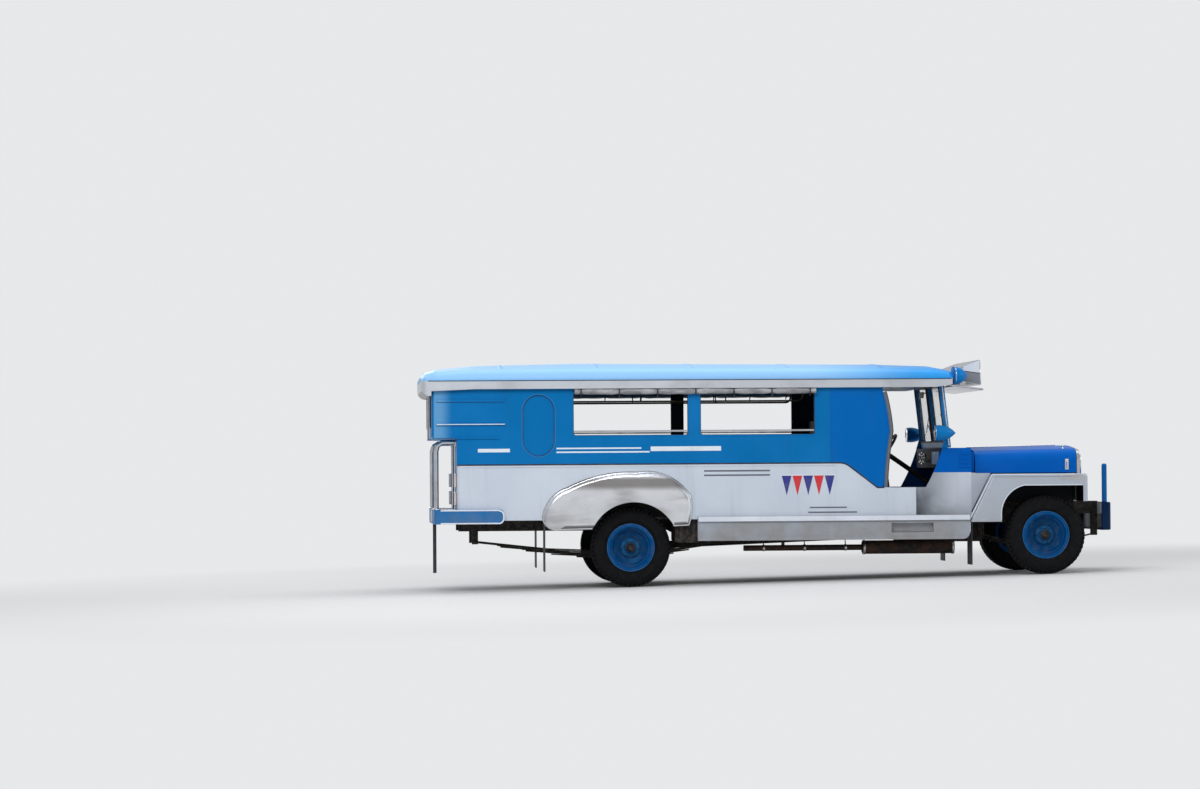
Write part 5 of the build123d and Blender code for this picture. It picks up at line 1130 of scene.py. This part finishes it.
# Benches along both sides and the front seat, with piping along each front edge
bench_low, bench_high = bench_rear + 1, bench_front - 1
for side_name, side in SIDES:
    pad = mirrored(side, (bench_low, bench_y + 2, 1050.5), (bench_high, side_inner - 2, 1140))
    cushion(f"bench_pad_{side_name}", *pad, UP, 290, 14, across=0)
    back = mirrored(side, (bench_low, side_inner - 50, 1231), (bench_high, side_inner - 1, 1429))
    cushion(f"bench_back_{side_name}", *back, (0, -side, 0), 290, 8, across=0, depth=6)
    edge = [(x, side * (bench_y + 6), 1122) for x in (bench_low + 10, bench_high - 10)]
    tube(f"bench_piping_{side_name}", edge, 5, "piping")
seat_half = 758
pad = (cowl_front - 1249, -seat_half, 980.5), (cowl_front - 831, seat_half, 1090)
cushion("front_pad", *pad, UP, 253, 16, across=1)
back = (partition_x + 11, -seat_half, 1036), (partition_x + 119, seat_half, 1594)
cushion("front_pad_back", *back, FORWARD, 253, 16, across=1)
tube("front_piping", [(cowl_front - 838, y, 1074) for y in (-740, 740)], 6, "piping")


# Rolled curtains: each a plastic sheet wound on itself under the gutter, pinched by
# ties and slack between them
def curtain(side_name, side):
    start, end = windows[0] + 14, windows[1] + window_length + 8
    tie_at = [start + 60 + (end - start - 120) * index / 6 for index in range(7)]
    core, roll_radius = 9, 30
    middle_y, middle_z = side * (side_half + roll_radius + 1.3), gutter_low - roll_radius - 1.3
    rows, turns, around = 150, 4.5, 22
    steps = int(turns * around)
    shape = bmesh.new()
    grid = []
    for row in range(rows + 1):
        x = start + (end - start) * row / rows
        pinch = math.exp(-(min(abs(x - tie) for tie in tie_at) / 42) ** 2)
        slack = 1 - pinch
        line = []
        for step in range(steps + 1):
            angle = 2 * math.pi * step / around
            wave = math.sin(x / 61 + angle * 2) + 0.7 * math.sin(x / 23 - angle * 3 + side)
            radius = core + (roll_radius - core - 5 * pinch + wave * (0.5 + slack)) * step / steps
            radius = min(roll_radius + 0.5, radius)
            y = middle_y + side * math.cos(angle) * radius
            z = middle_z + math.sin(angle) * radius - 2 * slack * (1 if math.sin(angle) < 0 else 0.2)
            line.append(shape.verts.new((x, y, z)))
        grid.append(line)
    for near, far in zip(grid, grid[1:]):
        for index in range(steps):
            shape.faces.new((near[index], near[index + 1], far[index + 1], far[index]))
    piece = from_bmesh(f"curtain_{side_name}", shape, "curtain", smooth=True)
    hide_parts("rolled_curtains")
    tie_ring = [(-6, 30.2), (-6, 31.2), (6, 31.2), (6, 30.2)]
    for index, x in enumerate(tie_at):
        center = (x, middle_y, middle_z)
        lathe(f"curtain_tie_{side_name}_{index}", tie_ring, center, FORWARD, "seal", 32, closed=True)
        end_low = (x - 5, middle_y + side * 27, middle_z - 46 - 9 * (index % 3))
        end_high = (x + 5, middle_y + side * 28.5, middle_z - 16)
        blocks(f"curtain_tail_{side_name}_{index}", [(end_low, end_high)], "seal", bevel=0.4)


for side_name, side in SIDES:
    curtain(side_name, side)


# Cab: dials, knobs and locker of the dash
dash_x, dial_z, knob_z = pillar_x - 6, 1222, 1196
for index, (dial_y, radius) in enumerate(((520, 42), (440, 30), (380, 58), (310, 30), (240, 42))):
    center = (dash_x, dial_y, dial_z)
    bezel = [(0, radius + 5), (9, radius + 4), (10, radius), (4, radius - 2), (0, radius - 2)]
    lathe(f"dial_bezel_{index}", bezel, center, BACK, "chrome", 40, closed=True)
    lathe(f"dial_face_{index}", [(0, radius - 1), (3, radius - 1), (3.4, 1)], center, BACK, "dial", 40)
    needle = (dash_x - 6, dial_y - 1.5, dial_z), (dash_x - 4.4, dial_y + 1.5, dial_z + radius * 0.75)
    blocks(f"dial_needle_{index}", [needle], "red_lens", bevel=0.3)
knobs = bmesh.new()
for knob_y in (-40, 20, 80, 140, 600):
    add_cylinder(knobs, (dash_x, knob_y, knob_z), BACK, 5, 20, 12)
    add_cylinder(knobs, (dash_x - 18, knob_y, knob_z), BACK, 13, 12, 20, 10)
from_bmesh("dash_knobs", knobs, "plastic", bevel=1)
blocks("locker_lid", [((dash_x - 5, -640, 1158), (dash_x + 8, -220, 1284))], "cab_blue", bevel=4)
blocks("locker_catch", [((dash_x - 11, -446, 1262), (dash_x - 4, -414, 1274))], "chrome")

# Horn button, lever boots, pedal rubbers, mats and the strips of the aisle
column = Vector((cowl_front - 670, 380, 1290))
column_up = Vector((-math.cos(steer_tilt), 0, math.sin(steer_tilt)))
lathe("horn_boss", [(-6, 52), (4, 50), (12, 42), (17, 26), (18, 1)], column, column_up, "plastic", 40)
lathe("horn_ring", [(10, 40), (14, 44), (10, 47), (6, 44)], column, column_up, "chrome", 40, closed=True)
for index, (boot_y, boot_way, reach) in enumerate(((60, (-0.12, 0.1, 1), 80), (-60, (-0.25, 0, 1), 60))):
    boot = [(0, 44), (8, 43), (18, 36), (24, 37), (34, 29), (40, 30), (52, 21), (58, 22), (reach, 13)]
    lathe(f"lever_boot_{index}", boot, (cowl_front - 640, boot_y, floor_top + 19), boot_way, "flap", 32)
pedals = bmesh.new()
for y in (230, 440, 570):
    low, high = (firewall_x - 186, y - 32, floor_top + 116), (firewall_x - 160, y + 32, floor_top + 186)
    add_block(pedals, low, high, Matrix.Rotation(math.radians(26), 3, "Y"))
from_bmesh("pedal_rubbers", pedals, "flap", bevel=4)
mats = [
    ((cowl_front - 826, y - 300, floor_top), (firewall_x - 8, y + 300, floor_top + 5)) for y in (-440, 440)
]
blocks("cab_mats", mats, "flap")
slat_x = range(bench_rear + 60, bench_front - 11, 150)
slats = [((x, -500, floor_top), (x + 6, 500, floor_top + 4)) for x in slat_x]
blocks("aisle_strips", slats, "steel", bevel=1)

# Windscreen: seals round both panes, bolts, wipers and the mirror inside
screen_out = Vector((math.cos(screen_lean), 0, math.sin(screen_lean)))


def on_screen(across, height, out):
    foot = Vector((pillar_x + 42, across, cowl_top))
    rise = Vector((-math.sin(screen_lean), 0, math.cos(screen_lean)))
    return foot + rise * height + screen_out * out


for side_name, side in SIDES:
    pane = rounded((side * 383 - 349, 64), (side * 383 + 349, 601), 24)
    for face_name, out in (("outer", 44), ("inner", 0)):
        path = [on_screen(y, z, out) for y, z in pane]
        tube(f"screen_seal_{face_name}_{side_name}", path, 8, "seal", closed=True)
    arm = [on_screen(side * 250, 36, 50), on_screen(side * 250, 60, 58), on_screen(side * 500, 240, 54)]
    tube(f"wiper_arm_{side_name}", arm, 4, "plastic", round_by=18)
    blade = [on_screen(side * 350, 330, 52), on_screen(side * 620, 160, 52)]
    tube(f"wiper_blade_{side_name}", blade, 4.5, "plastic")
    pivot = [(0, 16), (10, 15), (18, 9), (20, 1)]
    lathe(f"wiper_pivot_{side_name}", pivot, on_screen(side * 250, 36, 42), screen_out, "chrome", 24)
    bolts = [on_screen(side * 764, z, 44.5) for z in (80, 320, 560)]
    rivets(f"screen_bolts_{side_name}", bolts, screen_out, "chrome", 8, 4)
tube("mirror_stem", [on_screen(0, 560, 0), on_screen(0, 540, -50)], 6, "chrome")
blocks("inner_mirror", [(on_screen(-120, 505, -66), on_screen(120, 565, -48))], "plastic", bevel=6)

# Glass and bright ring of the side mirrors
for side_name, side in SIDES:
    mirror = (pillar_x - 85, side * mirror_y, mirror_z)
    lathe(f"mirror_glass_{side_name}", [(0, 66), (2, 65), (2.4, 1)], mirror, BACK, "mirror", 48)
    edge = [(-2, 71.5), (3, 71), (3, 66), (-2, 66)]
    lathe(f"mirror_ring_{side_name}", edge, mirror, BACK, "chrome", 48, closed=True)

# Headlamps, and a small round parking lamp on each fender's nose
for side_name, side in SIDES:
    y = side * lamp_y
    lamp = (grille_rear, y, lamp_z)
    dome = [(43, 92.5), (47, 88), (52, 74), (56, 50), (58, 24), (58.6, 1)]
    lathe(f"lamp_lens_front_{side_name}", dome, lamp, FORWARD, "clear_lens")
    ring(f"lamp_groove_{side_name}", (grille_rear + 43, y, lamp_z), 86, 92, 5.5, "seal", 64)
    lathe(f"lamp_cap_{side_name}", [(56, 20), (61, 19), (63, 12), (63.5, 1)], lamp, FORWARD, "chrome", 32)
    nose = surface("front_fenders", (hood_front + 400, side * park_y, park_z + 10), BACK)
    park = (nose.x, side * park_y, park_z)
    ring(f"park_rim_{side_name}", park, 34, 42, 9, "chrome")
    dome = [(0, 34), (8, 33), (14, 26), (18, 14), (19, 0.5)]
    lathe(f"park_lens_{side_name}", dome, park, FORWARD, "amber_lens", 40)
    ring(f"lamp_bezel_{side_name}", (grille_rear + 36.5, y, lamp_z), 93, 109, 10, "chrome", 64)
    screws = [(grille_rear + 46, y + 101 * math.cos(a), lamp_z + 101 * math.sin(a)) for a in (0.5, 2.6, 4.7)]
    rivets(f"lamp_screws_{side_name}", screws, FORWARD, "steel", 4, 2)

# Wire mesh behind the grille's bars, and a bright rim round its opening
wires = [((grille_rear + 3, y, 856), (grille_rear + 5, y + 2, 1256)) for y in range(-318, 303, 20)]
wires += [((grille_rear + 4, -318, z), (grille_rear + 6, 318, z + 2)) for z in range(858, 1239, 20)]
blocks("grille_mesh", wires, "engine", bevel=0)
opening = [(grille_rear + 31, y, z) for y, z in rounded((-326, 844), (326, 1268), 24)]
tube("grille_rim", opening, 6, "chrome", closed=True)


def upright(foot_x, top_x, half, foot, top):
    # The corners of a face across the vehicle.
    return [(foot_x, -half, foot), (foot_x, half, foot), (top_x, half, top), (top_x, -half, top)]


# Header board: bright border, blank face, and the shaded lower half of its cheeks
slab("header_face", upright(board_x + 1, board_x - 6, 676, 1950, 2150), (2, 0, 0), "plate")
tube("header_rim", upright(board_x + 2, board_x - 7, 690, 1936, 2163), 7, "chrome", closed=True)
cheek_x = roof_front + 128
for side_name, side in SIDES:
    y = side * 700
    lower = [(cheek_x, 1966), (board_x - 4, 1932), (board_x - 6, 2040), (cheek_x, 2062)]
    strip(f"header_cheek_{side_name}", lower, 2, y, "seal_grey")
    crown = [(cheek_x, 2066), (board_x - 6, 2044), (board_x - 11, 2166), (cheek_x + 4, 2108)]
    strip(f"header_crown_{side_name}", crown, 2, y, "bright_silver")
    band(f"header_line_{side_name}", [(cheek_x - 8, 2065), (board_x - 4, 2042)], 6, 3, y, "seal")
    rod = [(2660, side * 944, 1972), (roof_front, side * 924, 1918), (board_x - 6, side * 866, 1885)]
    tube(f"visor_rod_{side_name}", rod, 6, "chrome", round_by=30)
    for part, ahead, outer, width, look in (("ring", 2, 88, 9, "seal"), ("trim", 26, 87, 5, "chrome")):
        ring(f"pod_{part}_{side_name}", (roof_front + ahead, side * pod_y, pod_z), 80, outer, width, look)

# Bumper: grey band in the channel, bolts, and blank plates at both ends of the vehicle
slab("bumper_band", upright(bumper_rear, bumper_rear, 588, 668, 780), (-4, 0, 0), "silver")
bolts = [(bumper_front, y, z) for y in (-402, -332, 332, 402) for z in (612, 682)]
rivets("bumper_bolts", bolts, FORWARD, "chrome", 12, 7)
for name, x, way, z in (("front_plate", bumper_front, 3, 646), ("rear_plate", -1889, -3, 686)):
    blocks(name, [((x, -190, z - 62), (x + way, 190, z + 62))], "plate", bevel=1)
    edge = [(x + way, y, height) for y, height in rounded((-184, z - 56), (184, z + 56), 14)]
    tube(f"{name}_edge", edge, 2.5, "seal_grey", closed=True)

# Bonnet: spring catches, a knob by each front corner, a bead along the middle
catch_x = 4280
for side_name, side in SIDES:
    y = surface("hood", (catch_x, side * 1200, 1150), (0, -side, 0)).y + side
    plate = ((catch_x - 18, y, 1100), (catch_x + 18, y + side * 4, 1206))
    blocks(f"catch_plate_{side_name}", [plate], "chrome", "hood")
    loop = [(catch_x, y + side * out, z) for out, z in ((4, 1196), (18, 1180), (18, 1124), (4, 1108))]
    tube(f"catch_handle_{side_name}", loop, 5, "chrome", "hood", round_by=8)
    knob = [(0, 14), (5, 13), (7, 7), (20, 7), (24, 13), (31, 13), (36, 7), (37, 0.5)]
    foot = surface("hood", (4257, side * 540, 1600), DOWN)
    lathe(f"hood_knob_{side_name}", knob, foot, UP, "chrome", 24, body="hood")
    # Filler between the cowl and the bonnet's rear edge, below the hinges
    filler = mirrored(side, (cowl_front - 2, 702, 1078), (cowl_front + 43, 716, 1278))
    blocks(f"scuttle_side_{side_name}", [filler], "hood_blue", bevel=3)
bead_x = [hood_front - back for back in (980, 800, 600, 400, 200, 90)]
bead = [surface("hood", (x, 0, 1600), DOWN) + Vector((0, 0, 3)) for x in bead_x]
tube("hood_bead", bead, 8, "chrome", "hood")

# Running gear: spring clips, pipe clamps, tank straps, flap bolts
for end, axle_x, axle_z in (("rear", 0, tyre_radius), ("front", front_axle_x, front_axle_z)):
    for side_name, side in SIDES:
        for index, x in enumerate((axle_x - 36, axle_x + 36)):
            y, foot, top = side * spring_y, axle_z - 66, axle_z + 112
            clip = [(x, y - 38, foot), (x, y - 38, top), (x, y + 38, top), (x, y + 38, foot)]
            tube(f"spring_clip_{end}_{side_name}_{index}", clip, 7, "engine", round_by=16)
for index, (x, inner) in enumerate((
    (1300, pipe_radius), (1700, pipe_radius), (2100, pipe_radius),
    (cowl_front - 1030, muffler_radius), (cowl_front - 160, muffler_radius),
)):
    ring(f"pipe_clamp_{index}", (x, pipe_y, pipe_z), inner, inner + 5, 22, "steel", 40)
    if inner == pipe_radius:
        hanger = [(x + 11, pipe_y + 10, pipe_z + 26), (x + 11, pipe_y + 60, 520), (x + 11, -400, 560)]
        tube(f"pipe_hanger_{index}", hanger, 5, "engine", round_by=20)
tank = [LEVEL @ v.co for v in nodes["fuel_tank"].data.vertices]
tank_low, tank_high = (
    Vector([extreme(p[axis] for p in tank) for axis in range(3)]) for extreme in (min, max)
)
for index, share in enumerate((0.25, 0.75)):
    x = tank_low.x + (tank_high.x - tank_low.x) * share
    foot = tank_low.z + 20
    straps = [
        ((x - 14, tank_low.y - 3, foot), (x + 14, tank_low.y + 1, tank_high.z)),
        ((x - 14, tank_high.y - 1, foot), (x + 14, tank_high.y + 3, tank_high.z)),
        ((x - 14, tank_low.y + 20, tank_low.z - 3), (x + 14, tank_high.y - 20, tank_low.z + 1)),
    ]
    blocks(f"tank_strap_{index}", straps, "engine", bevel=1)

for side_name, side in SIDES:
    heads = [(front_axle_x - 746, side * y, 586) for y in (710, 800, 890)]
    rivets(f"flap_bolts_{side_name}", heads, BACK, "steel", 9, 5)

# Bright edging round the rear doorway
for side_name, side in SIDES:
    for part, x, foot, top in (("post", lower_rear - 2, 676, 1424), ("upper", upper_rear - 2, 1440, 1900)):
        post = [(x, side * entrance_half, z) for z in (foot, top)]
        tube(f"entrance_{part}_{side_name}", post, 9, "chrome")

# Grab rails under the ceiling, and a bright strip up each windscreen post
for side_name, side in SIDES:
    y, z = side * ceiling_rail_y, ceiling_rail_z
    rail = [(-1400, y, 1940), (-1360, y, z), (1700, y, z), (1740, y, 1940)]
    # The rails take a dark look: painted shade, for the shade they hang in under the ceiling.
    tube(f"grab_rail_{side_name}", rail, 9, "engine", round_by=40)
    for x in (-700, 130, 960):
        tube(f"grab_drop_{side_name}_{x}", [(x, y, z), (x, y, 1945)], 6, "engine")
    post = [on_screen(side * 796, height, 26) for height in (20, 640)]
    tube(f"screen_strip_{side_name}", post, 8, "steel")

# Laps of the roof's sheets, raised a little, with a row of rivets beside each
for index, x in enumerate((-1250, -330, 590, 1510, 2430)):
    lap = [surface("roof", (x, y, 2400), DOWN) for y in range(-840, 841, 40)]
    tube(f"roof_lap_{index}", lap, 5, "roof_blue")
    heads = [surface("roof", (x + 24, y, 2400), DOWN) for y in range(-840, 841, 105)]
    rivets(f"roof_rivets_{index}", heads, UP, "roof_blue", 8, 4)
